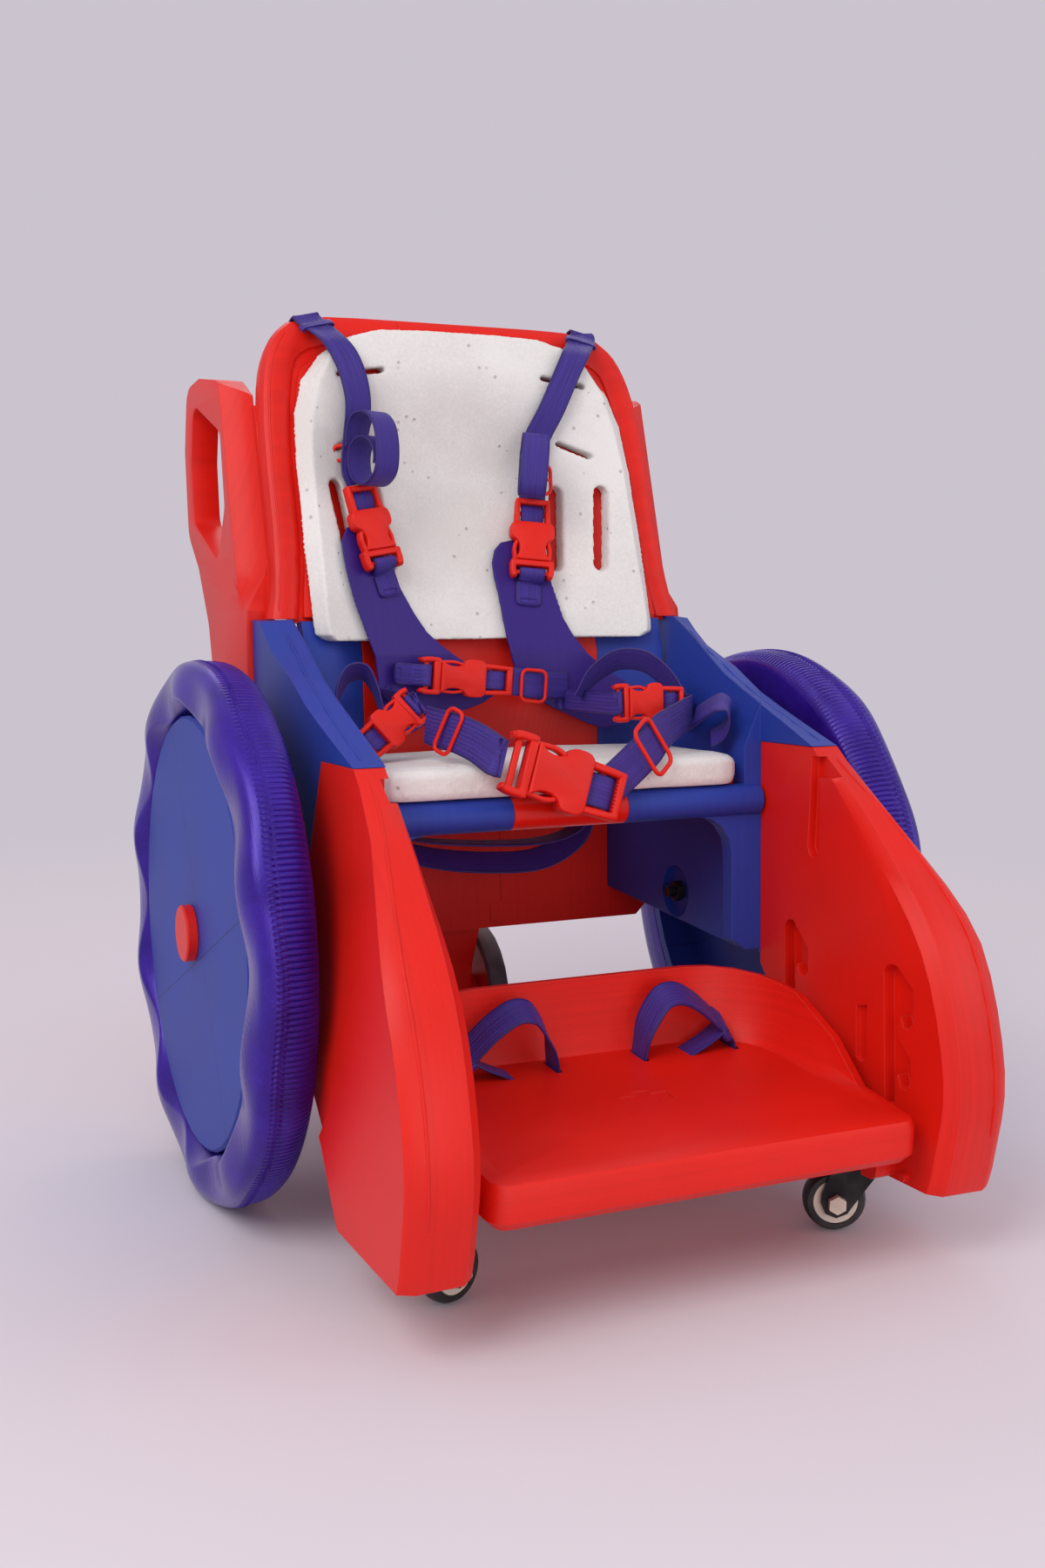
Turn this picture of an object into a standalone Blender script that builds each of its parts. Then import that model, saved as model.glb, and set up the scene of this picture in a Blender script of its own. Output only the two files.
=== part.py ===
"""Toddler mobility trainer: a small printed wheelchair with two big lobed wheels, two front casters,
a pair of rear anti-tip wheels, a lifting footplate, foam pads and a buckled harness.

The origin is on the floor below the middle of the machine, -Y is the way the child faces,
+X is the child's left and +Z is up. Everything is in metres. The body is drawn square to its own
seat plate, and stand() then leans it back until the big wheels and the casters share one floor."""

import math

import bmesh
import bpy
from mathutils import Matrix, Vector

# Clearances
GAP = 0.0003
LOOSE = 0.0010

# Big wheels
WHEEL_R = 0.1778
WHEEL_X = 0.2105
WHEEL_Y = 0.0385
AXLE_Z = 0.187
TYRE_DEPTH = 0.0358
DISC_R = WHEEL_R - TYRE_DEPTH
DISC_FACE_X = 0.2265
HUB_IN_X = 0.1668
LOBES = 10
STEPS_PER_LOBE = 5
AXLE_R = 0.004
BEARING_R = 0.011
BEARING_W = 0.007
HUB_CAP_R = 0.0185
HUB_CAP_T = 0.007

# Body: side frames, arms and seat
WALL_X = 0.134
ARM_X = 0.147
SIDE_X = 0.166
FLANGE_X = 0.124
FLANGE_T = 0.012
ARM_OUTER_X = 0.190
FRAME_FRONT_Y = -0.058
ARM_TOP_Z = 0.3035
FRAME_BOTTOM_Z = 0.157
FRAME_REAR_Y = 0.150
OUTER_REAR_Y = 0.0945
RAIL_R = 0.011
RAIL_Z = 0.2642
RAIL_Y = -0.055
CENTER_HALF = 0.0410
PAN_Z = 0.2625
PAN_T = 0.0177

# Backrest
LEAN = math.radians(16.6)
LEAN_Z = 0.365
BACK_Y = 0.064
BACK_SAG = 0.0335
SAG_END_Z = 0.575
BACK_HALF = 0.130
SHELL_T = 0.009
SHELL_HALF = 0.0915
PAD_T = 0.0145
PAD_BOTTOM_Z = 0.375
BAR_Y = 0.0735
BAR_Z = 0.3903
BAR_DEPTH = 0.024
HANDLE_IN_X = 0.150
HANDLE_OUT_X = 0.170
WEB_IN_X = 0.140
REAR_PANEL_T = 0.015
REAR_PANEL_BOTTOM_Z = 0.150

# Seat pad
SEAT_PAD_HALF = 0.129
SEAT_PAD_T = 0.017
SEAT_PAD_FRONT_Y = -0.064

# Front casters
CASTER_R = 0.020
CASTER_W = 0.014
CASTER_PIVOT = Vector((0.1464, -0.1755))
CASTER_TRAIL = 0.016
CASTER_TURN = math.radians(-24)
CASTER_CROWN_R = 0.013
CASTER_CROWN_Z = 0.0440
CASTER_TOP_Z = 0.0522
CASTER_WELL_R = 0.0172
CASTER_STEM_R = 0.005
CASTER_STEM_H = 0.010
CASTER_Y = CASTER_PIVOT.y - CASTER_TRAIL * math.sin(CASTER_TURN)

# Rear anti-tip wheels
REAR_WHEEL_R = 0.0575
REAR_WHEEL_W = 0.014
REAR_WHEEL_X = 0.040
REAR_WHEEL_Y = 0.205
REAR_WHEEL_Z = 0.088

# Footplate
FOOT_SIDE_GAP = 0.009
FOOT_HALF = ARM_X - FOOT_SIDE_GAP
FOOT_FRONT_Y = -0.252
FOOT_DEPTH = 0.189
FOOT_TOP_Z = 0.0935
FOOT_T = 0.0285
FOOT_TILT = math.radians(5)
FOOT_RIM_H = 0.036
FOOT_RIM_RISE = 0.013
FOOT_RIM_W = 0.020
RIM_START = 0.045
RIM_LEVEL = 0.100
RIM_RUN = 0.062
PEG_R = 0.004
PEG_REACH = 0.0045
PEG_END_X = ARM_X + PEG_REACH
POCKET_DEPTH = 0.008
FRONT_PEG_IN = 0.0447
FRONT_PEG_DOWN = 0.0114
REAR_PEG_IN = 0.0327
REAR_PEG_DOWN = 0.0087

# Harness
WEB_T = 0.0016
WEB_W = 0.020
LAP_WEB_W = 0.025
VEST_T = 0.0026
STRAP_CLEAR = 0.004
KEY_DEPTH = 0.087
STRAP_DEPTH = FOOT_DEPTH - FOOT_RIM_W - WEB_W / 2 - STRAP_CLEAR
FOOT_STRAP_ENDS = (0.031, 0.098)

RED = (0.80, 0.020, 0.006)
BLUE = (0.018, 0.045, 0.330)
PURPLE = (0.055, 0.016, 0.290)
FOAM = (0.78, 0.76, 0.72)
BLACK = (0.012, 0.012, 0.012)
CREAM = (0.75, 0.68, 0.58)
ZINC = (0.60, 0.60, 0.62)
GREY = (0.05, 0.045, 0.05)


def clear_scene():
    for obj in list(bpy.data.objects):
        bpy.data.objects.remove(obj, do_unlink=True)


def collection(name, hidden=False):
    made = bpy.data.collections.new(name)
    bpy.context.scene.collection.children.link(made)
    made.hide_render = hidden
    return made


clear_scene()
PARTS = collection("toddler_mobility_trainer")
CUTTERS = collection("cutters", hidden=True)


def material(name, colour, roughness, metallic=0.0):
    made = bpy.data.materials.new(name)
    made.use_nodes = True
    shader = made.node_tree.nodes["Principled BSDF"]
    shader.inputs["Base Color"].default_value = (*colour, 1)
    shader.inputs["Roughness"].default_value = roughness
    shader.inputs["Metallic"].default_value = metallic
    return made


RED_PLASTIC = material("red_plastic", RED, 0.35)
BLUE_PLASTIC = material("blue_plastic", BLUE, 0.40)
PURPLE_RUBBER = material("purple_rubber", PURPLE, 0.35)
PURPLE_WEBBING = material("purple_webbing", PURPLE, 0.45)
WHITE_FOAM = material("white_foam", FOAM, 0.90)
BLACK_STEEL = material("black_steel", BLACK, 0.40)
BLACK_RUBBER = material("black_rubber", BLACK, 0.60)
GREY_RUBBER = material("grey_rubber", GREY, 0.60)
CREAM_PLASTIC = material("cream_plastic", CREAM, 0.40)
ZINC_STEEL = material("zinc_steel", ZINC, 0.30, 1.0)


# Building blocks

SMOOTH = {}


def finish(bm, name, surface, group=None, smooth=35):
    """Turns a closed bmesh into an object whose faces point out."""
    bmesh.ops.recalc_face_normals(bm, faces=bm.faces)
    if bm.calc_volume(signed=True) < 0:
        bmesh.ops.reverse_faces(bm, faces=bm.faces)
    mesh = bpy.data.meshes.new(name)
    bm.to_mesh(mesh)
    bm.free()
    if surface:
        mesh.materials.append(surface)
    SMOOTH[name] = smooth
    obj = bpy.data.objects.new(name, mesh)
    (group or PARTS).objects.link(obj)
    return obj


def loft(name, rings, surface=None, group=None, closed=False, smooth=35, split=False):
    """Skins rings of as many points each, and caps the two ends or joins the last ring to the first."""
    bm = bmesh.new()
    rows = [[bm.verts.new(point) for point in ring] for ring in rings]
    pairs = list(zip(rows, rows[1:]))
    if closed:
        pairs.append((rows[-1], rows[0]))
    else:
        bm.faces.new(rows[0][::-1])
        bm.faces.new(rows[-1])
    for low, high in pairs:
        for i in range(len(low)):
            j = (i + 1) % len(low)
            if split:
                bm.faces.new((low[i], low[j], high[j]))
                bm.faces.new((low[i], high[j], high[i]))
            else:
                bm.faces.new((low[i], low[j], high[j], high[i]))
    return finish(bm, name, surface, group, smooth)


AXES = {
    "x": Matrix(((0, 0, 1), (1, 0, 0), (0, 1, 0))),
    "y": Matrix(((1, 0, 0), (0, 0, -1), (0, 1, 0))),
    "z": Matrix.Identity(3),
}


def prism(name, outline, axis, low, high, surface=None, group=None):
    """Extrudes a flat outline along an axis. Its points are (y, z), (x, z) or (x, y)."""
    curve = bpy.data.curves.new(name, "CURVE")
    curve.dimensions = "2D"
    curve.fill_mode = "BOTH"
    curve.extrude = abs(high - low) / 2
    spline = curve.splines.new("POLY")
    spline.points.add(len(outline) - 1)
    spline.use_cyclic_u = True
    for point, here in zip(spline.points, outline):
        point.co = (here[0], here[1], 0, 1)
    bm = curve_mesh(curve)
    turn = AXES[axis]
    middle = turn @ Vector((0, 0, 1)) * (low + high) / 2
    if axis == "y":
        middle = -middle
    bm.transform(Matrix.Translation(middle) @ turn.to_4x4())
    return finish(bm, name, surface, group)


def curve_mesh(curve):
    """Turns a curve into a closed bmesh."""
    guide = bpy.data.objects.new(curve.name + "_guide", curve)
    CUTTERS.objects.link(guide)
    graph = bpy.context.evaluated_depsgraph_get()
    mesh = bpy.data.meshes.new_from_object(guide.evaluated_get(graph))
    bpy.data.objects.remove(guide, do_unlink=True)
    bm = bmesh.new()
    bm.from_mesh(mesh)
    bpy.data.meshes.remove(mesh)
    bmesh.ops.remove_doubles(bm, verts=bm.verts, dist=0.00001)
    return bm


def cylinder(name, start, end, radius, surface=None, group=None, sides=24, end_radius=None):
    start, end = Vector(start), Vector(end)
    along = end - start
    turn = along.to_track_quat("Z", "Y").to_matrix().to_4x4()
    bm = bmesh.new()
    bmesh.ops.create_cone(
        bm, cap_ends=True, segments=sides, radius1=radius,
        radius2=radius if end_radius is None else end_radius, depth=along.length,
        matrix=Matrix.Translation((start + end) / 2) @ turn)
    return finish(bm, name, surface, group)


def turned(name, profile, centre, axis, surface, steps=32, group=None):
    """Turns a profile of (radius, distance along the axis) about an axis through centre.

    A profile that starts and ends on the axis makes a solid, and any other one makes a ring."""
    closed = profile[0][0] > 0
    count = len(profile)
    edges = [(i, (i + 1) % count) for i in range(count if closed else count - 1)]
    mesh = bpy.data.meshes.new(name)
    mesh.from_pydata([(r, 0, a) for r, a in profile], edges, [])
    obj = bpy.data.objects.new(name, mesh)
    (group or PARTS).objects.link(obj)
    modify(obj, "SCREW", axis="Z", angle=2 * math.pi, steps=steps, render_steps=steps,
           use_merge_vertices=True, merge_threshold=0.00001)
    apply(obj)
    bm = bmesh.new()
    bm.from_mesh(obj.data)
    discard([obj])
    turn = Vector(axis).to_track_quat("Z", "Y").to_matrix().to_4x4()
    bm.transform(Matrix.Translation(Vector(centre)) @ turn)
    return finish(bm, name, surface, group)


def smooth_line(points, steps=3, closed=False):
    """A Catmull-Rom curve through the points, each as a tuple of any length."""
    points = [Vector(p) for p in points]
    count = len(points)
    line = []
    for i in range(count if closed else count - 1):
        if closed:
            p0, p1, p2, p3 = (points[(i + k) % count] for k in (-1, 0, 1, 2))
        else:
            p0, p1, p2, p3 = (points[min(max(i + k, 0), count - 1)] for k in (-1, 0, 1, 2))
        for step in range(steps):
            t = step / steps
            line.append(0.5 * (2 * p1 + (p2 - p0) * t + (2 * p0 - 5 * p1 + 4 * p2 - p3) * t ** 2
                               + (3 * p1 - p0 - 3 * p2 + p3) * t ** 3))
    if not closed:
        line.append(points[-1])
    return line


def rounded(corners, segments=4):
    """An outline whose corners are (a, b, radius), with an arc at each corner that has a radius."""
    line = []
    count = len(corners)
    for i, (a, b, radius) in enumerate(corners):
        here = Vector((a, b))
        if radius == 0:
            line.append(here)
            continue
        before = (Vector(corners[i - 1][:2]) - here).normalized()
        after = (Vector(corners[(i + 1) % count][:2]) - here).normalized()
        half = before.angle(after) / 2
        reach = radius / math.tan(half)
        centre = here + (before + after).normalized() * (radius / math.sin(half))
        first = here + before * reach - centre
        last = here + after * reach - centre
        sweep = first.angle_signed(last)
        for step in range(segments + 1):
            turn = -sweep * step / segments
            line.append(centre + Matrix.Rotation(turn, 2) @ first)
    return line


def mirrored(points, side):
    return [Vector((p[0] * side, *p[1:])) for p in points]


def modify(obj, kind, **settings):
    modifier = obj.modifiers.new(kind.title(), kind)
    for key, value in settings.items():
        setattr(modifier, key, value)
    return modifier


def apply(obj):
    """Bakes an object's modifiers into its mesh."""
    graph = bpy.context.evaluated_depsgraph_get()
    mesh = bpy.data.meshes.new_from_object(obj.evaluated_get(graph))
    obj.modifiers.clear()
    old = obj.data
    obj.data = mesh
    bpy.data.meshes.remove(old)
    return obj


def cut(obj, *cutters):
    for cutter in cutters:
        modify(obj, "BOOLEAN", operation="DIFFERENCE", object=cutter)
    apply(obj)
    discard(cutters)
    return obj


def join(obj, *others):
    for other in others:
        modify(obj, "BOOLEAN", operation="UNION", object=other)
    apply(obj)
    discard(others)
    return obj


def common(obj, other):
    modify(obj, "BOOLEAN", operation="INTERSECT", object=other)
    apply(obj)
    discard([other])
    return obj


def discard(objects):
    for obj in objects:
        bpy.data.objects.remove(obj, do_unlink=True)


def soften(obj, width, segments=2, angle=35):
    modify(obj, "BEVEL", width=width, segments=segments, limit_method="ANGLE",
           angle_limit=math.radians(angle), use_clamp_overlap=True)
    return apply(obj)


def ribbon(name, path, across, width, thickness, surface, steps=2):
    """A strap: a thin rectangle swept along a smooth path, with its width along the across vectors."""
    line = smooth_line(path, steps)
    sides = smooth_line(across, steps)
    rings = []
    for i, here in enumerate(line):
        ahead = line[min(i + 1, len(line) - 1)] - line[max(i - 1, 0)]
        wide = sides[i] - ahead.normalized() * sides[i].dot(ahead.normalized())
        wide = wide.normalized() * width / 2
        thick = ahead.cross(wide).normalized() * thickness / 2
        rings.append([here - wide - thick, here + wide - thick, here + wide + thick, here - wide + thick])
    return loft(name, rings, surface, smooth=50)


JOINTS = []


def carry(name, location, *objects):
    """Notes a joint's place and the pieces that move there, for stand() to tie to an empty."""
    JOINTS.append((name, Vector(location), objects))


SIDES = {"left": 1, "right": -1}

# The lean that puts the big wheels on the floor on which the casters stand
AXLE_AHEAD = WHEEL_Y - CASTER_Y
LEAN_BACK = math.acos(WHEEL_R / math.hypot(AXLE_Z, AXLE_AHEAD)) - math.atan2(AXLE_AHEAD, AXLE_Z)
TO_FLOOR = (Matrix.Translation((0, CASTER_Y, 0)) @ Matrix.Rotation(-LEAN_BACK, 4, "X")
            @ Matrix.Translation((0, -CASTER_Y, 0)))


def to_body(point):
    """A point given on the level floor, as the body's own square frame sees it."""
    return TO_FLOOR.inverted() @ Vector(point)


def on_floor(name):
    return name.startswith("caster_")


def stand():
    """Leans the body back, centres the machine over the origin and ties its joints to empties."""
    parts = [obj for obj in PARTS.objects if obj.type == "MESH"]
    for obj in parts:
        if not on_floor(obj.name):
            obj.data.transform(TO_FLOOR)
    ys = [vertex.co.y for obj in parts for vertex in obj.data.vertices]
    shift = Matrix.Translation((0, -(min(ys) + max(ys)) / 2, 0))
    for obj in parts:
        obj.data.transform(shift)
        obj.data.shade_smooth()
        obj.data.set_sharp_from_angle(angle=math.radians(SMOOTH.get(obj.name, 35)))
    for name, location, objects in JOINTS:
        if not on_floor(name):
            location = TO_FLOOR @ location
        empty = bpy.data.objects.new(name, None)
        empty.location = shift @ location
        PARTS.objects.link(empty)
        for obj in objects:
            obj.parent = empty
            obj.matrix_parent_inverse = Matrix.Translation(-empty.location)


# Big wheels


def tyre_ring(wave):
    """The tyre's section as (radius, distance out from its middle): wave is 1 on a lobe, 0 between."""
    low = DISC_R + 0.0007
    return [
        (low, -0.0198),
        (WHEEL_R - 0.0215, -0.0205),
        (WHEEL_R - 0.0090, -0.0185),
        (WHEEL_R - 0.0022, -0.0120),
        (WHEEL_R, -0.0030),
        (WHEEL_R - 0.0006, 0.0090),
        (WHEEL_R - 0.0035 - 0.0025 * (1 - wave), 0.0160 + 0.0010 * wave),
        (WHEEL_R - 0.0125 - 0.0045 * (1 - wave), 0.0175 + 0.0045 * wave),
        (low + 0.0055 + 0.0080 * wave, 0.0168 + 0.0066 * wave),
        (low + 0.0015 + 0.0085 * wave, 0.0160 + 0.0062 * wave),
        (low + 0.0006 + 0.0050 * wave, 0.0145 + 0.0027 * wave),
        (low, 0.0100),
    ]


def make_tyre(side, name):
    rings = []
    steps = LOBES * STEPS_PER_LOBE
    for step in range(steps):
        angle = 2 * math.pi * step / steps
        wave = (1 + math.cos(LOBES * angle)) / 2
        spoke = Vector((0, math.sin(angle), math.cos(angle)))
        centre = Vector((side * WHEEL_X, WHEEL_Y, AXLE_Z))
        rings.append([centre + spoke * r + Vector((side * a, 0, 0)) for r, a in tyre_ring(wave)])
    return loft(name, rings, PURPLE_RUBBER, closed=True, smooth=60)


def make_disc(side, name):
    """The printed wheel: a flat outer face, a rim drum and a hub with its bearing seat."""
    bore = AXLE_R + 0.0006
    face = DISC_FACE_X - WHEEL_X
    hub = HUB_IN_X - WHEEL_X
    profile = [
        (0.0105, face), (DISC_R - 0.0020, face), (DISC_R, face - 0.0020), (DISC_R, -0.0198),
        (DISC_R - 0.0080, -0.0198), (DISC_R - 0.0080, face - 0.0080), (0.0180, face - 0.0080), (0.0160, hub),
        (BEARING_R + GAP, hub), (BEARING_R + GAP, hub + BEARING_W + GAP),
        (bore, hub + BEARING_W + GAP), (bore, face - 0.0085), (0.0105, face - 0.0085),
    ]
    return turned(name, profile, (side * WHEEL_X, WHEEL_Y, AXLE_Z), (side, 0, 0), BLUE_PLASTIC, steps=40)


def make_wheel(word, side):
    centre = Vector((side * WHEEL_X, WHEEL_Y, AXLE_Z))
    axis = (side, 0, 0)
    face = DISC_FACE_X - WHEEL_X
    hub = HUB_IN_X - WHEEL_X
    tyre = make_tyre(side, f"wheel_tyre_{word}")
    disc = make_disc(side, f"wheel_disc_{word}")
    cap = turned(f"hub_cap_{word}", [
        (0, face + GAP + HUB_CAP_T), (HUB_CAP_R - 0.001, face + GAP + HUB_CAP_T),
        (HUB_CAP_R, face + GAP + HUB_CAP_T - 0.001), (HUB_CAP_R, face + GAP), (0, face + GAP)],
        centre, axis, RED_PLASTIC, steps=32)
    bearing = turned(f"wheel_bearing_{word}", [
        (AXLE_R + GAP, hub), (BEARING_R, hub), (BEARING_R, hub + BEARING_W), (AXLE_R + GAP, hub + BEARING_W)],
        centre, axis, ZINC_STEEL, steps=20)
    carry(f"wheel_axis_{word}", centre, tyre, disc, cap, bearing)
    head = face - 0.0078
    bolt_end = WALL_X - 0.007 - WHEEL_X
    bolt = turned(f"axle_bolt_{word}", [
        (0, head + 0.0055), (0.0072, head + 0.0055), (0.0072, head), (AXLE_R, head), (AXLE_R, bolt_end),
        (0, bolt_end)], centre, axis, ZINC_STEEL, steps=18)
    nut_in = WALL_X - 0.0015
    nut = cylinder(f"axle_nut_{word}", (side * nut_in, WHEEL_Y, AXLE_Z),
                   (side * (nut_in + 0.0062), WHEEL_Y, AXLE_Z), 0.0075, ZINC_STEEL, sides=6)
    bore = cylinder("bore", (side * (nut_in - 0.01), WHEEL_Y, AXLE_Z),
                    (side * (nut_in + 0.02), WHEEL_Y, AXLE_Z), AXLE_R + GAP, sides=18, group=CUTTERS)
    cut(nut, bore)
    return tyre, disc, cap, bearing, bolt, nut


# Arms: the curved red fronts that carry the footplate and the casters

ARM_FRONT = [
    (-0.1206, ARM_TOP_Z), (-0.179, 0.250), (-0.235, 0.189), (-0.2575, 0.117), (-0.250, 0.065), (-0.243, 0.043)]
ARM_REAR = [
    (-0.146, 0.043), (-0.134, 0.060), (-0.118, 0.085), (-0.085, 0.118), (FRAME_FRONT_Y - GAP, 0.150),
    (FRAME_FRONT_Y - GAP, ARM_TOP_Z)]


def ease(value):
    value = min(max(value, 0), 1)
    return value * value * (3 - 2 * value)


def arm_outer(z):
    """How far out the arm reaches at a height: thin where it meets the armrest."""
    return ARM_OUTER_X - (ARM_OUTER_X - SIDE_X) * ease((z - 0.185) / (ARM_TOP_Z - 0.185))


def arm_ring(share, forward):
    """The arm's outline at a share of its width, with its front pushed forward."""
    front = smooth_line(ARM_FRONT, 4)
    ring = []
    for i, (y, z) in enumerate(front):
        a = front[max(i - 1, 0)]
        b = front[min(i + 1, len(front) - 1)]
        normal = Vector((b - a)).orthogonal().normalized()
        if normal.x > 0:
            normal = -normal
        push = forward * ease(i / 4)
        ring.append((y + normal.x * push, max(z + normal.y * push, 0.0425)))
    ring += ARM_REAR
    points = []
    for y, z in ring:
        z = min(z, ARM_TOP_Z)
        points.append(Vector((ARM_X + (arm_outer(z) - ARM_X) * share, y, z)))
    return points


# The pockets' outlines, as distances back from and above their pegs
FRONT_POCKET = [
    (0.0075, 0.0845), (0.0045, 0.0888), (0.0011, 0.0902), (-0.0053, 0.0902), (-0.0221, 0.0782),
    (-0.0225, 0.0580), (-0.0182, 0.0533), (-0.0127, 0.0530), (-0.0099, 0.0599), (-0.0071, 0.0522),
    (-0.0083, 0.0455), (-0.0204, 0.0343), (-0.0206, 0.0204), (-0.0159, 0.0155), (-0.0104, 0.0159),
    (-0.0076, 0.0230), (-0.0054, 0.0189), (-0.0063, 0.0097)]
REAR_POCKET = [
    (0.0070, 0.0821), (0.0050, 0.0855), (0.0018, 0.0876), (-0.0032, 0.0877), (-0.0213, 0.0716),
    (-0.0214, 0.0552), (-0.0157, 0.0513), (-0.0103, 0.0538), (-0.0089, 0.0592), (-0.0058, 0.0547),
    (-0.0068, 0.0421)]
TOP_SLOT = [
    (-0.1155, 0.2375), (-0.1180, 0.2330), (-0.1220, 0.2310), (-0.1265, 0.2330), (-0.1285, 0.2375),
    (-0.1285, 0.2840), (-0.1400, 0.2840), (-0.1600, 0.2900), (-0.1600, 0.3200), (-0.1280, 0.3200),
    (-0.1280, 0.2978), (-0.1196, 0.2978)]
PLAIN_SLOT = [(-0.1707, 0.1433), (-0.1827, 0.1458), (-0.1824, 0.1120), (-0.1760, 0.1080), (-0.1711, 0.1100)]


def pocket(outline, peg, side, name):
    """A pocket in the arm's inner face that goes down to the peg that rests at its foot."""
    half = PEG_R + LOOSE
    floor = -PEG_R - GAP
    foot = [(-half, outline[-1][1] - 0.006), (-half, floor), (half, floor)]
    points = [(peg.x + back, peg.y + up) for back, up in outline + foot]
    return prism(name, points, "x", side * (ARM_X - 0.01), side * (ARM_X + POCKET_DEPTH), group=CUTTERS)


def make_arm(word, side):
    rings = [(0, 0), (0.16, 0.0075), (0.80, 0.0085), (1, 0.0030)]
    arm = loft(f"arm_{word}", [mirrored(arm_ring(*ring), side) for ring in rings], RED_PLASTIC)
    x, y = CASTER_PIVOT
    below, roof = to_body((side * x, y, 0)), to_body((side * x, y, CASTER_TOP_Z + GAP))
    boss = cylinder("boss", roof, to_body((side * x, y, CASTER_TOP_Z + 0.014)), CASTER_WELL_R, group=CUTTERS)
    lobe = [(-0.1960, 0.0430), (-0.2060, 0.0430), (-0.2105, 0.0455), (-0.2120, 0.0500), (-0.2120, 0.0615),
            (-0.1960, 0.0615)]
    lobe = prism("lobe", lobe, "x", side * 0.1335, side * (ARM_X + 0.002), group=CUTTERS)
    peg = cylinder("peg", (side * 0.1435, -0.2232, 0.0480), (side * (ARM_X + 0.002), -0.2232, 0.0480), 0.003,
                   group=CUTTERS, sides=12)
    well = cylinder("well", below, roof, CASTER_WELL_R, group=CUTTERS, sides=36)
    stem = cylinder("stem", below, to_body((side * x, y, CASTER_TOP_Z + CASTER_STEM_H + 0.0008)),
                    CASTER_STEM_R + GAP, group=CUTTERS, sides=18)
    sweep = cylinder("sweep", (side * (WHEEL_X - 0.0240), WHEEL_Y, AXLE_Z), (side * 0.25, WHEEL_Y, AXLE_Z),
                     WHEEL_R + 0.004, group=CUTTERS, sides=64)
    slot = prism("slot", TOP_SLOT, "x", side * (ARM_X - 0.01), side * (ARM_X + 0.006), group=CUTTERS)
    small = prism("small", PLAIN_SLOT, "x", side * (ARM_X - 0.01), side * (ARM_X + 0.003), group=CUTTERS)
    join(arm, boss, lobe, peg)
    cut(arm, well, stem, sweep, slot, small, pocket(FRONT_POCKET, FRONT_PEG, side, "front_pocket"),
        pocket(REAR_POCKET, REAR_PEG, side, "rear_pocket"))
    return arm


# Side frames: armrest, side panel, front flange and rail end in one blue piece

INNER_TOP = [
    (-0.1206, 0.3042), (-0.092, 0.316), (-0.054, 0.331), (-0.008, 0.350), (0.029, 0.372), (0.0640, 0.390)]
OUTER_TOP = [
    (-0.1206, 0.3038), (-0.078, 0.318), (-0.028, 0.336), (0.006, 0.353), (0.047, 0.3685), (0.0760, 0.3885)]


def side_outline(top, rear_y, rear_z):
    bottom = [(FRAME_FRONT_Y, FRAME_BOTTOM_Z), (0.018, 0.164)]
    bottom.append((rear_y, 0.171))
    low = [(rear_y, rear_z)]
    crest = smooth_line(top, 2)[::-1]
    front = [(-0.1206, ARM_TOP_Z + GAP), (FRAME_FRONT_Y, ARM_TOP_Z + GAP)]
    return bottom + low + [tuple(p) for p in crest] + front


def back_y(x, z):
    """The front surface of the back shell: hollow across, upright below, leaning back and flat above."""
    across = min(abs(x) / BACK_HALF, 1)
    rise = max(z - LEAN_Z, 0)
    sag = BACK_SAG * (1 - ease((z - SAG_START_Z) / (SAG_END_Z - SAG_START_Z)))
    return BACK_Y + rise * math.tan(LEAN) + sag * (1 - across ** 2)


SAG_START_Z = 0.490
BACK_LEVELS = [0.240, LEAN_Z, 0.430, SAG_START_Z]
BACK_LEVELS += [SAG_START_Z + (SAG_END_Z - SAG_START_Z) * (i + 1) / 5 for i in range(5)] + [0.640]
BACK_COLUMNS = [0.0, 0.022, 0.044, 0.066, 0.088, 0.109, BACK_HALF, 0.155]
BACK_COLUMNS = [-x for x in BACK_COLUMNS[:0:-1]] + BACK_COLUMNS


def curved_slab(name, near, far, surface=None, group=None):
    """A slab that follows the back shell: near and far are distances in front of its front surface."""
    rings = []
    for z in BACK_LEVELS:
        ring = [(x, back_y(x, z) - near, z) for x in BACK_COLUMNS]
        ring += [(x, back_y(x, z) - far, z) for x in BACK_COLUMNS[::-1]]
        rings.append(ring)
    return loft(name, rings, surface, group, split=True)


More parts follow.
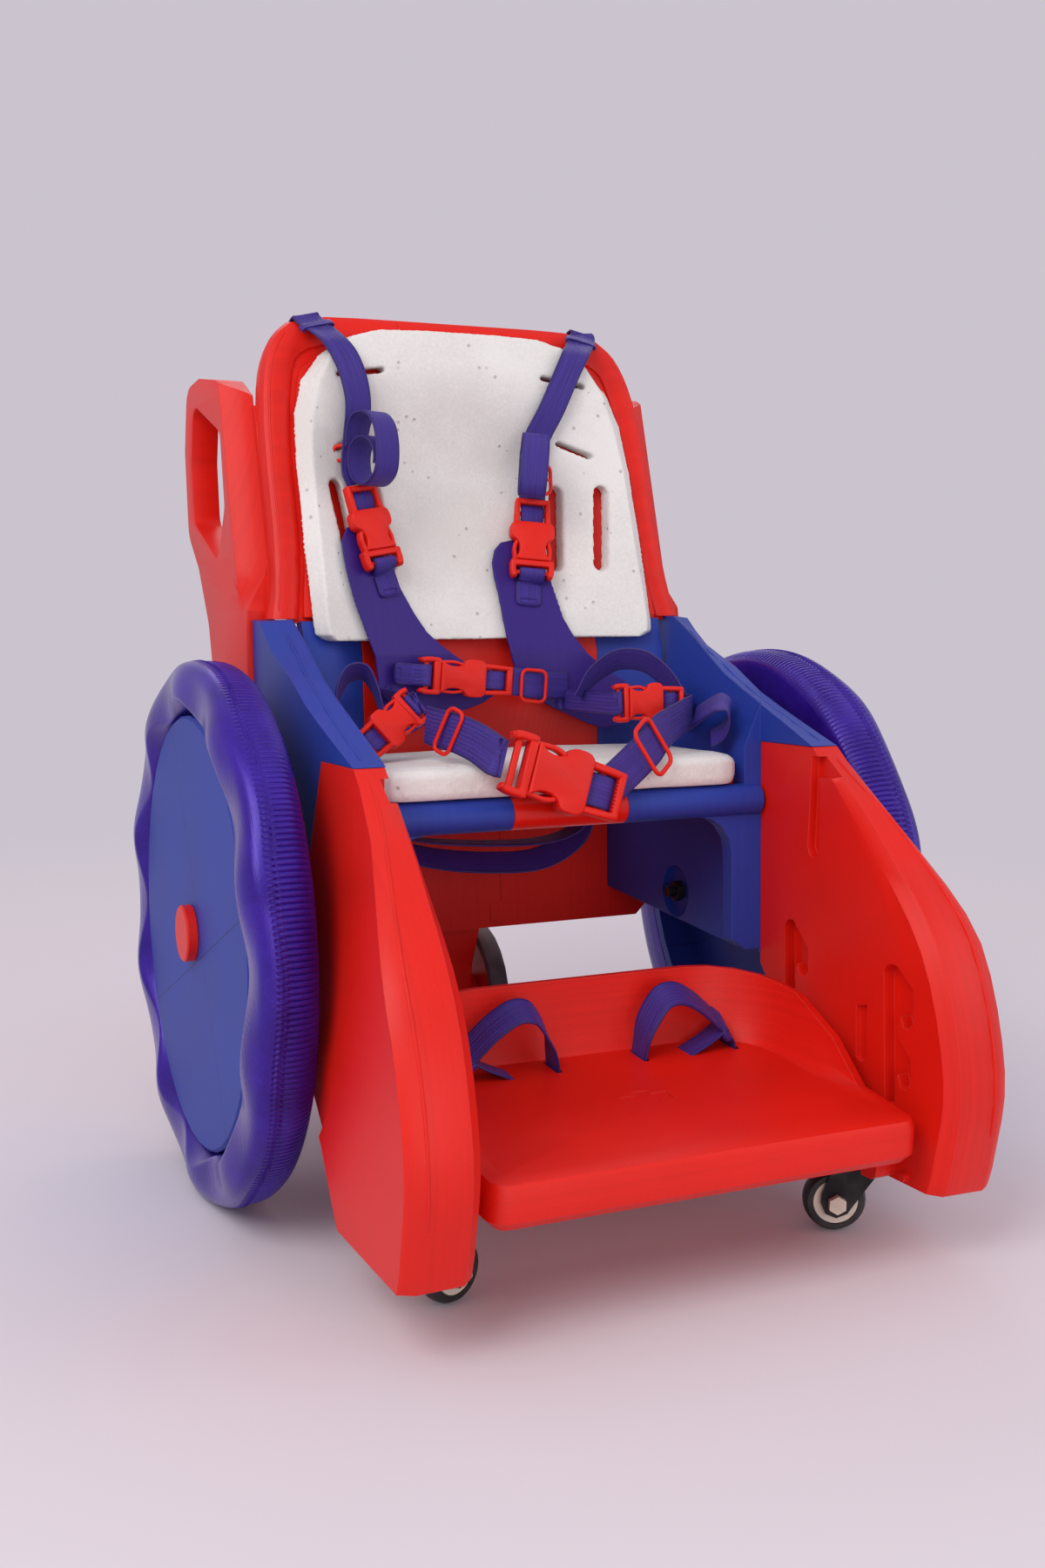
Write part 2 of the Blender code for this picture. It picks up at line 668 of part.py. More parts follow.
def make_side_frame(word, side):
    name = f"side_frame_{word}"
    inner = side_outline(INNER_TOP, OUTER_REAR_Y, 0.390)
    outer = side_outline(OUTER_TOP, OUTER_REAR_Y, 0.390)
    rings = [[(side * (ARM_X - 0.0005), y, z) for y, z in inner],
             [(side * SIDE_X, y, z) for y, z in outer]]
    frame = loft(name, rings, BLUE_PLASTIC)
    wall_top = [(OUTER_REAR_Y, 0.390)] + [tuple(p) for p in smooth_line(INNER_TOP[2:], 2)[::-1]]
    rear = FRAME_REAR_Y - GAP
    wall = [(FRAME_FRONT_Y, FRAME_BOTTOM_Z + 0.003), (rear, 0.1755), (rear, 0.262), (OUTER_REAR_Y, 0.300)]
    wall += wall_top + [(FRAME_FRONT_Y, wall_top[-1][1])]
    slope = [(y, min(z, 0.300)) for y, z in wall]
    inner_wall = loft("wall", [[(side * WALL_X, y, z) for y, z in slope],
                               [(side * (ARM_X + 0.0003), y, z) for y, z in wall]], group=CUTTERS)
    flange_outline = [(WALL_X + 0.004, 0.1590), (FLANGE_X, 0.1675), (FLANGE_X, 0.228)]
    for step in range(5):
        angle = math.radians(90 * step / 4)
        flange_outline.append((0.098 + 0.026 * math.cos(angle), 0.228 + 0.026 * math.sin(angle)))
    flange_outline += [(0.092, 0.258), (0.092, PAN_Z - GAP), (WALL_X + 0.004, PAN_Z - GAP)]
    flange = prism("flange", mirrored(flange_outline, side), "y", FRAME_FRONT_Y, FRAME_FRONT_Y + FLANGE_T,
                   group=CUTTERS)
    rail = cylinder("rail", (side * (CENTER_HALF + GAP / 2), RAIL_Y, RAIL_Z),
                    (side * (ARM_X - 0.002), RAIL_Y, RAIL_Z), RAIL_R, group=CUTTERS, sides=18)
    corner = corner_block(side)
    bore = cylinder("bore", (side * 0.12, WHEEL_Y, AXLE_Z), (side * 0.18, WHEEL_Y, AXLE_Z),
                    AXLE_R + GAP, group=CUTTERS, sides=18)
    recess = cylinder("recess", (side * 0.12, WHEEL_Y, AXLE_Z), (side * (WALL_X + 0.005), WHEEL_Y, AXLE_Z),
                      0.0195, group=CUTTERS)
    join(frame, inner_wall, flange, rail, corner)
    cut(frame, bore, recess)
    return frame


def corner_block(side):
    """The blue corner between the red back shell and the side wall."""
    rings = []
    for z in (PAN_Z, LEAN_Z, 0.3886):
        xs = [SHELL_HALF + GAP, 0.109, BACK_HALF, WALL_X + 0.004]
        ring = [(side * x, back_y(x, z) + 0.0005, z) for x in xs]
        ring += [(side * x, back_y(x, z) + SHELL_T + 0.004, z) for x in xs[::-1]]
        rings.append(ring)
    return loft("corner", rings, group=CUTTERS)


# Backrest


# The bar's outer and inner edges, as (distance across, rise along the lean)
BAR_OUTER = [(0.1590, 0), (0.1525, 0.050), (0.1515, 0.110), (0.1500, 0.150), (0.1455, 0.185), (0.1360, 0.209),
             (0.1230, 0.2220), (0.0950, 0.2283), (0.0700, 0.2290), (CENTER_HALF + GAP / 2, 0.2290)]
BAR_INNER = [(0.1370, 0), (0.1305, 0.050), (0.1295, 0.110), (0.1280, 0.138), (0.1245, 0.168), (0.1190, 0.190),
             (0.1090, 0.1985), (0.0890, 0.2045), (0.0680, 0.2050), (CENTER_HALF + GAP / 2, 0.2050)]


def bar_edge(corners):
    """A smooth edge of the bar. It stays straight where the shoulder strap wraps round it."""
    return [(p.x, p.y) for p in smooth_line([(x, rise, 0) for x, rise in corners[:7]])] + corners[7:]


def bar_point(side, x, rise, depth):
    """A point of the leaning frame: depth is measured straight back from its front face."""
    return Vector((side * x, BAR_Y + rise * math.sin(LEAN) + depth * math.cos(LEAN),
                   BAR_Z + rise * math.cos(LEAN) - depth * math.sin(LEAN)))


def bar_ring(side, outer, inner):
    """The bar's rounded section between its outer and inner edge."""
    outer, inner = Vector(outer), Vector(inner)
    middle, half = (outer + inner) / 2, (outer - inner) / 2
    ring = []
    for step in range(12):
        angle = 2 * math.pi * (step + 0.5) / 12
        u = abs(math.cos(angle)) ** 0.75 * math.copysign(1, math.cos(angle))
        v = abs(math.sin(angle)) ** 0.75 * math.copysign(1, math.sin(angle))
        place_ = middle + half * u * 1.03
        ring.append(bar_point(side, place_.x, place_.y, BAR_DEPTH / 2 * (1 + v * 1.03)))
    return ring


HANDLE = [
    (0.0960, 0.2640, 0), (0.0960, 0.3975, 0), (0.1380, 0.5480, 0.004), (0.1640, 0.5610, 0.010),
    (0.2150, 0.5690, 0.020), (0.2560, 0.5660, 0.018), (0.2680, 0.5200, 0.020), (0.2630, 0.4560, 0.020),
    (0.2330, 0.4300, 0.020), (0.2060, 0.3880, 0.030), (0.1960, 0.3500, 0.030), (0.1780, 0.2640, 0.006)]
HANDLE_HOLE = [
    (0.1560, 0.5240, 0.010), (0.2360, 0.5530, 0.012), (0.2470, 0.5100, 0.010), (0.2430, 0.4640, 0.012),
    (0.1720, 0.4330, 0.010), (0.1480, 0.4700, 0.012)]


def make_upright(word, side):
    """A red upright: a round bar, and behind it a web and a plate with the push handle's finger hole."""
    name = f"back_upright_{word}"
    plate = prism(name, rounded(HANDLE, 3), "x", side * HANDLE_IN_X, side * HANDLE_OUT_X, RED_PLASTIC)
    hole = prism("hole", rounded(HANDLE_HOLE, 3), "x", side * 0.1, side * 0.2, group=CUTTERS)
    cut(plate, hole)
    soften(plate, 0.0035, 2, 50)
    web = [(0.0870, 0.3975), (0.1300, 0.5400), (0.1400, 0.5400), (0.1010, 0.3975)]
    web = prism("web", web, "x", side * WEB_IN_X, side * (HANDLE_IN_X + 0.002), group=CUTTERS)
    rings = [bar_ring(side, *edges) for edges in zip(bar_edge(BAR_OUTER), bar_edge(BAR_INNER))]
    up = Vector((0, math.tan(LEAN), 1))
    rings[0] = [point + up * (BAR_Z - point.z) for point in rings[0]]
    return join(join(plate, web), loft("bar", rings, group=CUTTERS))


def make_back():
    ends = [bar_ring(side, BAR_OUTER[-1], BAR_INNER[-1]) for side in (1, -1)]
    for ring, side in zip(ends, (1, -1)):
        for point in ring:
            point.x = side * (CENTER_HALF - GAP / 2)
    center = loft("back_top_center", ends, RED_PLASTIC)
    shell = curved_slab("back_shell", 0, -SHELL_T, RED_PLASTIC)
    step_z = BAR_Z + 0.0012
    edge = [(x - 0.0005, BAR_Z + rise * math.cos(LEAN)) for x, rise in bar_edge(BAR_INNER)[1:]]
    edge = [(x, z - 0.0075 * ease((z - 0.50) / 0.08)) for x, z in edge]
    half = [(SHELL_HALF, PAN_Z), (SHELL_HALF, step_z), (0.1355, step_z)] + edge
    outline = half + [(-x, z) for x, z in half[::-1]]
    common(shell, prism("outline", outline, "y", -0.1, 0.3, group=CUTTERS))
    return center, shell


PAD_FLARE = 0.0125
PAD_EDGE = [(0.0400, 0.3750, 0), (0.1120, 0.3750, 0.7), (0.1195, 0.3790, 0.9), (0.1215, 0.3880, 0.8),
            (0.1195, 0.4400, 1), (0.1185, 0.5000, 1), (0.1156, 0.5325, 1), (0.1110, 0.5570, 0.8),
            (0.0990, 0.5770, 0.5), (0.0820, 0.5900, 0.2), (0.0620, 0.5958, 0), (0.0300, 0.5970, 0)]


def make_back_pad():
    """The foam back pad: hollow across, with strap slots that go right through."""
    pad = curved_slab("back_pad", 2 * GAP, 2 * GAP + PAD_T, WHITE_FOAM)
    outline = PAD_EDGE + [(-x, z, -share) for x, z, share in PAD_EDGE[::-1]]
    rings = []
    for depth, flare in ((-0.05, 0), (0.002, 0), (PAD_T, PAD_FLARE), (0.10, PAD_FLARE)):
        rings.append([(x + flare * share, back_y(BACK_HALF, z) - 2 * GAP - PAD_T + depth, z)
                      for x, z, share in outline])
    common(pad, loft("outline", rings, group=CUTTERS))
    slots = []
    for side in SIDES.values():
        slots.append(strap_slot(side * 0.0650, side * 0.0715, 0.4285, 0.4830, 0.0050))
        slots.append(strap_slot(side * 0.0970, side * 0.1040, 0.4285, 0.4830, 0.0050))
        slots.append(strap_slot(side * 0.0755, side * 0.0995, 0.5190, 0.5095, 0.0021))
        slots.append(strap_slot(side * 0.0625, side * 0.0955, 0.5663, 0.5617, 0.0021))
    return cut(pad, *slots)


def strap_slot(x0, x1, z0, z1, radius):
    """A cutter for a slot with round ends between two points of the pad's face."""
    a, b = Vector((x0, z0)), Vector((x1, z1))
    along = (b - a).normalized()
    across = along.orthogonal()
    points = []
    for end, way in ((a, -1), (b, 1)):
        for step in range(5):
            angle = math.radians(90 - 45 * step) * way
            points.append(end + along * way * radius * math.cos(angle) + across * radius * math.sin(angle))
    return prism("slot", points, "y", -0.1, 0.3, group=CUTTERS)


def make_rear_panels():
    """The lower rear panel in three pieces, with a keyed seam on each side of the middle one."""
    low, high = REAR_PANEL_BOTTOM_Z, PAN_Z
    y0, y1 = FRAME_REAR_Y, FRAME_REAR_Y + REAR_PANEL_T
    seam = CENTER_HALF
    key = [(seam, high), (seam, low + 0.020), (seam - 0.009, low + 0.019), (seam - 0.009, low + 0.005),
           (seam, low + 0.003), (seam, low)]
    inner = [(x - GAP, z) for x, z in key]
    middle = prism("rear_panel_center", inner + [(-x, z) for x, z in inner[::-1]], "y", y0, y1, RED_PLASTIC)
    pieces = [middle]
    edge = HANDLE_OUT_X - 0.002
    for word, side in SIDES.items():
        outline = [(side * x, z) for x, z in key + [(edge - 0.008, low), (edge, low + 0.008), (edge, high)]]
        pieces.append(prism(f"rear_panel_{word}", outline, "y", y0, y1, RED_PLASTIC))
    return pieces


# Seat


def make_seat():
    end = CENTER_HALF - GAP / 2
    rail = cylinder("seat_rail_center", (-end, RAIL_Y, RAIL_Z), (end, RAIL_Y, RAIL_Z), RAIL_R, RED_PLASTIC, sides=18)
    half = WALL_X - GAP
    front = RAIL_Y + RAIL_R + GAP
    xs = [half] + [x for x in BACK_COLUMNS[::-1] if abs(x) < half] + [-half]
    outline = [(-half, front), (half, front)] + [(x, back_y(x, PAN_Z) - GAP) for x in xs]
    pan = prism("seat_pan", outline, "z", PAN_Z, PAN_Z + PAN_T, RED_PLASTIC)
    bottom = PAN_Z + PAN_T + GAP
    pad = seat_pad(bottom)
    return rail, pan, pad


def seat_pad(bottom):
    """The foam seat pad: flat below, softly crowned above, with round front corners."""
    rings = []
    crown = [(0.002, 0), (0, 0.003), (0, SEAT_PAD_T - 0.0060), (0.003, SEAT_PAD_T - 0.0025),
             (0.010, SEAT_PAD_T - 0.0008), (0.045, SEAT_PAD_T)]
    for inset, height in crown:
        half = SEAT_PAD_HALF - inset
        low_y = SEAT_PAD_FRONT_Y + inset
        high_y = BACK_Y - 0.003 - inset
        outline = rounded([(-half, low_y, 0.014), (half, low_y, 0.014), (half, high_y, 0.008),
                           (0.05, high_y + 0.020, 0), (-0.05, high_y + 0.020, 0), (-half, high_y, 0.008)], 3)
        rings.append([(p.x, p.y, bottom + height) for p in outline])
    return loft("seat_pad", rings, WHITE_FOAM, smooth=60)


# Front casters


def make_caster(word, side):
    """A swivel caster: a crown with a stem and two legs, and a small tyred wheel on a bolt."""
    pivot = Vector((side * CASTER_PIVOT.x, CASTER_PIVOT.y, 0))
    away = Vector((-side * math.cos(CASTER_TURN), -math.sin(CASTER_TURN), 0))
    axle = Vector((-away.y, away.x, 0))
    hub = pivot + away * CASTER_TRAIL + Vector((0, 0, CASTER_R))
    up = Vector((0, 0, 1))
    crown = cylinder(f"caster_fork_{word}", pivot + up * CASTER_CROWN_Z, pivot + up * CASTER_TOP_Z,
                     CASTER_CROWN_R, BLACK_STEEL)
    stem = cylinder("stem", pivot + up * (CASTER_CROWN_Z + 0.002),
                    pivot + up * (CASTER_TOP_Z + CASTER_STEM_H), CASTER_STEM_R, group=CUTTERS, sides=16)
    legs = [stem]
    half = CASTER_W / 2
    near, far = half + 0.0008, half + 0.0028
    t, r = CASTER_TRAIL, CASTER_R
    outline = [(0.0120, 0.0470), (-0.0120, 0.0470), (-0.0128, 0.0408), (-t - 0.0040, 0.0398), (-t - 0.0095, r + 0.006),
               (-t - 0.0098, r), (-t - 0.0069, r - 0.0069), (-t, r - 0.0098), (-t + 0.0069, r - 0.0069),
               (-t + 0.0092, r - 0.0034), (0.0120, 0.0430)]
    for way in (1, -1):
        rings = [[pivot - away * u + axle * way * w + up * z for u, z in outline] for w in (near, far)]
        legs.append(loft("leg", rings, group=CUTTERS))
    join(crown, *legs)
    reach = far
    bore = cylinder("bore", hub - axle * 0.02, hub + axle * 0.02, 0.0028, group=CUTTERS, sides=16)
    cut(crown, bore)
    tyre = turned(f"caster_tyre_{word}", [
        (0.0145, -half), (0.0178, -half), (0.0195, -half + 0.003), (CASTER_R, 0), (0.0195, half - 0.003),
        (0.0178, half), (0.0145, half)], hub, axle, BLACK_RUBBER, steps=28)
    rim = turned(f"caster_hub_{word}", [
        (0, -reach - 0.0010), (0.0025, -reach - 0.0010), (0.0025, -half + 0.0010), (0.0105, -half + 0.0010),
        (0.0142, -half + 0.0004), (0.0142, half - 0.0004), (0.0105, half - 0.0010), (0.0025, half - 0.0010),
        (0.0025, reach + 0.0010), (0, reach + 0.0010)], hub, axle, CREAM_PLASTIC, steps=28)
    heads = []
    for way in (1, -1):
        heads.append(cylinder("head", hub + axle * way * (reach + GAP), hub + axle * way * (reach + 0.0045),
                              0.0060, group=CUTTERS, sides=6))
    join(rim, *heads)
    carry(f"caster_swivel_{word}", pivot, crown)
    carry(f"caster_roll_{word}", hub, tyre, rim)
    return crown, tyre, rim


# Rear anti-tip wheels


def make_rear():
    """A red bracket under the rear panel that holds an axle with a wheel at each end."""
    y0 = FRAME_REAR_Y + REAR_PANEL_T + GAP
    outline = rounded([(y0, 0.152, 0), (y0, 0.232, 0.004), (0.182, 0.220, 0.010), (0.2240, 0.108, 0.012),
                       (0.2240, 0.070, 0.012), (0.1880, 0.070, 0.012), (0.1860, 0.112, 0.02)], 3)
    inner = REAR_WHEEL_X - REAR_WHEEL_W / 2 - 0.0025
    bracket = prism("rear_bracket", outline, "x", -inner, inner, RED_PLASTIC)
    soften(bracket, 0.003, 1, 50)
    end = REAR_WHEEL_X + REAR_WHEEL_W / 2 + 0.0015
    axle = turned("axle", [
        (0, end + 0.004), (0.0065, end + 0.004), (0.0065, end), (0.0040, end), (0.0040, -end), (0.0065, -end),
        (0.0065, -end - 0.004), (0, -end - 0.004)],
        (0, REAR_WHEEL_Y, REAR_WHEEL_Z), (1, 0, 0), None, steps=16, group=CUTTERS)
    join(bracket, axle)
    made = [bracket]
    half = REAR_WHEEL_W / 2
    for word, side in SIDES.items():
        centre = Vector((side * REAR_WHEEL_X, REAR_WHEEL_Y, REAR_WHEEL_Z))
        r = REAR_WHEEL_R
        tyre = turned(f"rear_tyre_{word}", [
            (r - 0.0090, -half), (r - 0.0020, -half), (r, -half + 0.003), (r, half - 0.003),
            (r - 0.0020, half), (r - 0.0090, half)], centre, (1, 0, 0), GREY_RUBBER, steps=24)
        hub = turned(f"rear_hub_{word}", [
            (0.0043, -half - 0.0010), (0.0130, -half - 0.0010), (0.0140, -half + 0.0045),
            (r - 0.0150, -half + 0.0045), (r - 0.0093, -half + 0.0010), (r - 0.0093, half - 0.0010),
            (r - 0.0150, half - 0.0045), (0.0140, half - 0.0045), (0.0130, half + 0.0010),
            (0.0043, half + 0.0010)], centre, (1, 0, 0), RED_PLASTIC, steps=24)
        carry(f"rear_axis_{word}", centre, tyre, hub)
        made += [tyre, hub]
    return made


# Footplate


def foot_point(x, depth, height):
    """A point of the footplate: depth runs back along its tilted top, height stands on it."""
    return Vector((x, FOOT_FRONT_Y + depth * math.cos(FOOT_TILT) - height * math.sin(FOOT_TILT),
                   FOOT_TOP_Z + depth * math.sin(FOOT_TILT) + height * math.cos(FOOT_TILT)))


FRONT_PEG = foot_point(0, FRONT_PEG_IN, -FRONT_PEG_DOWN).yz
REAR_PEG = foot_point(0, FOOT_DEPTH - REAR_PEG_IN, -REAR_PEG_DOWN).yz


def foot_outline(inset):
    half = FOOT_HALF - inset
    front = max(0.013 - inset, 0.004)
    rear = 0.062 - inset
    return rounded([(-half, inset, front), (half, inset, front), (half, 0.055, 0), (half, 0.085, 0),
                    (half, FOOT_DEPTH - inset, rear), (-half, FOOT_DEPTH - inset, rear), (-half, 0.085, 0),
                    (-half, 0.055, 0)], 5)


def rim_height(depth):
    rise = FOOT_RIM_RISE * (depth - RIM_LEVEL) / (FOOT_DEPTH - RIM_LEVEL)
    return (FOOT_RIM_H + rise) * ease((depth - RIM_START) / RIM_RUN)


def make_footplate():
    """The footplate: a tilted tray with a rim round its back, strap slots and side pegs."""
    levels = [(0.006, -FOOT_T, 0), (0, -FOOT_T + 0.006, 0), (0, -0.0060, 1), (0.0022, -0.0016, 1),
              (0.0085, 0, 1), (0.0120, 0, 0.35), (FOOT_RIM_W, 0, 0)]
    rings = []
    for inset, height, share in levels:
        rings.append([foot_point(x, d, height + share * rim_height(d)) for x, d in foot_outline(inset)])
    plate = loft("footplate", rings, RED_PLASTIC)
    extras = []
    slots = []
    thin = WEB_T / 2 + 0.0014
    wide = WEB_W / 2 + 0.0012
    for side in SIDES.values():
        for y, z in (FRONT_PEG, REAR_PEG):
            extras.append(cylinder("peg", (side * (FOOT_HALF - 0.014), y, z), (side * PEG_END_X, y, z), PEG_R,
                                   group=CUTTERS, sides=14))
        for x in FOOT_STRAP_ENDS:
            corners = [(-thin, -wide), (thin, -wide), (thin, wide), (-thin, wide)]
            outline = [(side * x + across, STRAP_DEPTH + back) for across, back in corners]
            rings = [[foot_point(*corner, height) for corner in outline] for height in (-0.05, 0.01)]
            slots.append(loft("slot", rings, group=CUTTERS))
    join(plate, *extras)
    key = [(0.015, 0.005), (0.005, 0.005), (0.005, 0.010), (-0.005, 0.010), (-0.005, 0.005), (-0.015, 0.005)]
    cross = key + [(-x, -d) for x, d in key]
    rings = [[foot_point(x * 1.03, KEY_DEPTH + d * 1.04, h) for x, d in cross] for h in (-0.004, 0.01)]
    cut(plate, loft("key_hole", rings, group=CUTTERS), *slots)
    rings = [[foot_point(x, KEY_DEPTH + d, h) for x, d in cross] for h in (-0.0037, -0.0004)]
    return plate, loft("footplate_key", rings, RED_PLASTIC)


def make_foot_strap(word, side):
    inner, outer = FOOT_STRAP_ENDS
    arch = [(inner, -0.022), (inner, -0.010), (inner, 0.002), (inner + 0.004, 0.020), (inner + 0.014, 0.036),
            (inner + 0.026, 0.039), (inner + 0.040, 0.032), (inner + 0.053, 0.021), (outer - 0.003, 0.010),
            (outer, -0.008), (outer, -0.022)]
    path = [foot_point(side * x, STRAP_DEPTH, h) for x, h in arch]
    return ribbon(f"foot_strap_{word}", path, [(0, 1, 0.1)] * len(path), WEB_W, WEB_T, PURPLE_WEBBING)


# Harness


def pad_point(x, z, lift=0.0):
    """A point at a distance in front of the back pad's face."""
    return Vector((x, back_y(x, z) - 2 * GAP - PAD_T - lift, z))


def frame_at(x, z, lift, slant, roll=0.0):
    """A place for a buckle on the pad: its centre and its down, across and outward directions."""
    here = pad_point(x, z, lift)
    right = (pad_point(x + 0.004, z, lift) - pad_point(x - 0.004, z, lift)).normalized()
    high = (pad_point(x, z + 0.004, lift) - pad_point(x, z - 0.004, lift)).normalized()
    out = right.cross(high).normalized()
    turn = Matrix.Rotation(slant, 3, out)
    return here, turn @ -high, turn @ right, out


def buckle_half(name, place_, outline, thickness, surface=RED_PLASTIC):
    """A plate with an outline in (along, across) about a place, centred on its thickness."""
    centre, along, across, out = place_
    flat = [centre + along * u + across * v for u, v in outline]
    return loft(name, [[point + out * w for point in flat] for w in (-thickness / 2, thickness / 2)], surface)


def hollow(place_, u0, u1, v, w):
    """A box cutter in a buckle's own directions."""
    centre, along, across, out = place_
    ring = [(v, w), (v, -w), (-v, -w), (-v, w)]
    rings = [[centre + along * u + across * a + out * b for a, b in ring] for u in (u0, u1)]
    return loft("hollow", rings, group=CUTTERS)


def make_buckle(names, place_, width, length, plug_length, thickness=0.009):
    """A side-release buckle: a socket with a webbing bar, and a plug whose tongue sits inside it."""
    h = width / 2
    socket = buckle_half(names[0], place_, [
        (-length, -h + 0.003), (-length, h - 0.003), (-length * 0.62, h - 0.003), (-length * 0.52, h),
        (-length * 0.22, h), (-length * 0.12, h - 0.004), (0, h - 0.003), (0, -h + 0.003),
        (-length * 0.12, -h + 0.004), (-length * 0.22, -h), (-length * 0.52, -h),
        (-length * 0.62, -h + 0.003)], thickness)
    wall = 0.0018
    cut(socket, hollow(place_, -length * 0.50, 0.01, h - 0.0055, thickness / 2 - wall),
        hollow(place_, -length + 0.004, -length * 0.68, h - 0.0070, thickness))
    tongue_h = h - 0.0055 - GAP
    head = [(GAP, -h + 0.003), (GAP, h - 0.003), (plug_length - 0.003, h - 0.003), (plug_length, h - 0.006),
            (plug_length, -h + 0.006), (plug_length - 0.003, -h + 0.003)]
    plug = buckle_half(names[1], place_, head, thickness - 0.0014)
    tongue = hollow(place_, -length * 0.50 + GAP, 0.002, tongue_h, thickness / 2 - wall - GAP)
    join(plug, tongue)
    cut(plug, hollow(place_, plug_length - 0.0095, plug_length - 0.0040, h - 0.0080, thickness))
    return socket, plug


VEST_OUTLINES = {
    "right": [(-0.1060, 0.4430), (-0.0930, 0.4560), (-0.0760, 0.4400), (-0.0600, 0.4080), (-0.0440, 0.3800),
              (-0.0200, 0.3610), (0.0030, 0.3480), (0.0060, 0.3340), (-0.0140, 0.3250), (-0.0400, 0.3190),
              (-0.0620, 0.3090), (-0.0790, 0.3110), (-0.0860, 0.3350), (-0.0890, 0.3640), (-0.1010, 0.4020)],
    "left": [(0.0140, 0.4300), (0.0230, 0.4450), (0.0420, 0.4440), (0.0560, 0.4200), (0.0620, 0.3900),
             (0.0760, 0.3640), (0.0960, 0.3470), (0.1080, 0.3360), (0.1060, 0.3160), (0.0880, 0.3080),
             (0.0640, 0.3180), (0.0400, 0.3300), (0.0240, 0.3480), (0.0180, 0.3760), (0.0160, 0.4040)],
}
VEST_LIFT = 0.0040


def make_vest(word, side):
    """One of the two soft panels that lie on the child's front: a curved leaf in front of the pad."""
    leaf = curved_slab(f"vest_panel_{word}", PAD_T + VEST_LIFT, PAD_T + VEST_LIFT + VEST_T, PURPLE_WEBBING)
    outline = smooth_line(VEST_OUTLINES[word], 2, closed=True)
    return common(leaf, prism("leaf", outline, "y", -0.2, 0.3, group=CUTTERS))


SHOULDER = {"right": (-0.0785, 0.4380, math.radians(14)), "left": (0.0415, 0.4310, math.radians(-8))}
SHOULDER_LIFT = 0.0123
SHOULDER_LENGTH = 0.047
SHOULDER_PLUG = 0.016
SHOULDER_W = 0.033


def make_shoulder(word, side):
    x, z, slant = SHOULDER[word]
    place_ = frame_at(x, z, SHOULDER_LIFT, slant)
    socket, plug = make_buckle((f"shoulder_socket_{word}", f"shoulder_plug_{word}"), place_, SHOULDER_W,
                               SHOULDER_LENGTH, SHOULDER_PLUG)
    centre, along, across, out = place_
    start = centre - along * (SHOULDER_LENGTH + 3 * GAP)
    outer = Vector(BAR_OUTER[6]).lerp(Vector(BAR_OUTER[7]), STRAP_PLACE)
    inner = Vector(BAR_INNER[6]).lerp(Vector(BAR_INNER[7]), STRAP_PLACE)
    run = Vector(BAR_OUTER[6]) - Vector(BAR_OUTER[7]) + Vector(BAR_INNER[6]) - Vector(BAR_INNER[7])
    run.normalize()
    upward = Vector((-run.y, run.x))
    middle = (outer + inner) / 2
    reach = (outer - inner).dot(upward) / 2 + 0.0014
    deep = BAR_DEPTH / 2 + 0.0013
    wrap = []
    for u, v in ((0.55, 1.02), (0.96, 0.74), (1.02, 0), (0.96, -0.74), (0.5, -1), (-0.4, -1.0)):
        spot = middle + upward * reach * u
        wrap.append(bar_point(side, spot.x, spot.y, BAR_DEPTH / 2 - deep * v))
    along_bar = bar_point(side, side * run.x, side * run.y, 0) - bar_point(side, 0, 0, 0)
    fall = [pad_point(*spot) for spot in STRAP_FALL[word]]
    face = [(pad_point(px + 0.004, pz) - pad_point(px - 0.004, pz)).normalized() for px, pz, _ in STRAP_FALL[word]]
    path = [start, start - along * 0.005, start - along * 0.010] + fall + wrap
    wide = [across] * 3 + face + [along_bar] * len(wrap)
    strap = ribbon(f"shoulder_strap_{word}", path, wide, WEB_W, WEB_T, PURPLE_WEBBING, steps=2)
    carry(f"shoulder_release_{word}", centre, plug)
    return socket, plug, strap


STRAP_PLACE = 0.4
STRAP_FALL = {
    "right": [(-0.0870, 0.5160, 0.0070), (-0.0850, 0.5420, 0.0090), (-0.0900, 0.5660, 0.0090),
              (-0.0985, 0.5850, 0.0050)],
    "left": [(0.0545, 0.5160, 0.0070), (0.0670, 0.5440, 0.0070), (0.0800, 0.5700, 0.0060),
             (0.0905, 0.5860, 0.0045)],
}
CHEST = Vector((-0.0090, 0.0600, 0.3465))
CHEST_SOCKET = 0.049
CHEST_PLUG = 0.022


def make_chest():
    """The chest buckle across the two vest panels, with its webbing."""
    along = Vector((1, 0, -0.09)).normalized()
    out = Vector((-0.10, -1, 0.05))
    out = (out - along * out.dot(along)).normalized()
    across = out.cross(along).normalized()
    place_ = (CHEST, along, across, out)
    socket, plug = make_buckle(("chest_socket", "chest_plug"), place_, 0.025, CHEST_SOCKET, CHEST_PLUG)
    start = CHEST + along * (CHEST_PLUG + 2 * GAP)
    path = [start, start + along * 0.004, start + along * 0.008, Vector((0.0300, 0.0600, 0.3415)),
            Vector((0.0450, 0.0635, 0.3410)), Vector((0.0600, 0.0676, 0.3405))]
    strap = ribbon("chest_strap", path, [across] * len(path), WEB_W, WEB_T, PURPLE_WEBBING)
    carry("chest_release", CHEST, socket)
    return socket, plug, strap


def make_slider(name, place_, width, length):
    """A flat ring that webbing threads through."""
    h, l = width / 2, length / 2
    ring = buckle_half(name, place_, [(p.x, p.y) for p in rounded(
        [(-l, -h, 0.003), (-l, h, 0.003), (l, h, 0.003), (l, -h, 0.003)], 2)], 0.0024)
    return cut(ring, hollow(place_, -l + 0.0025, l - 0.0025, h - 0.0025, 0.01))


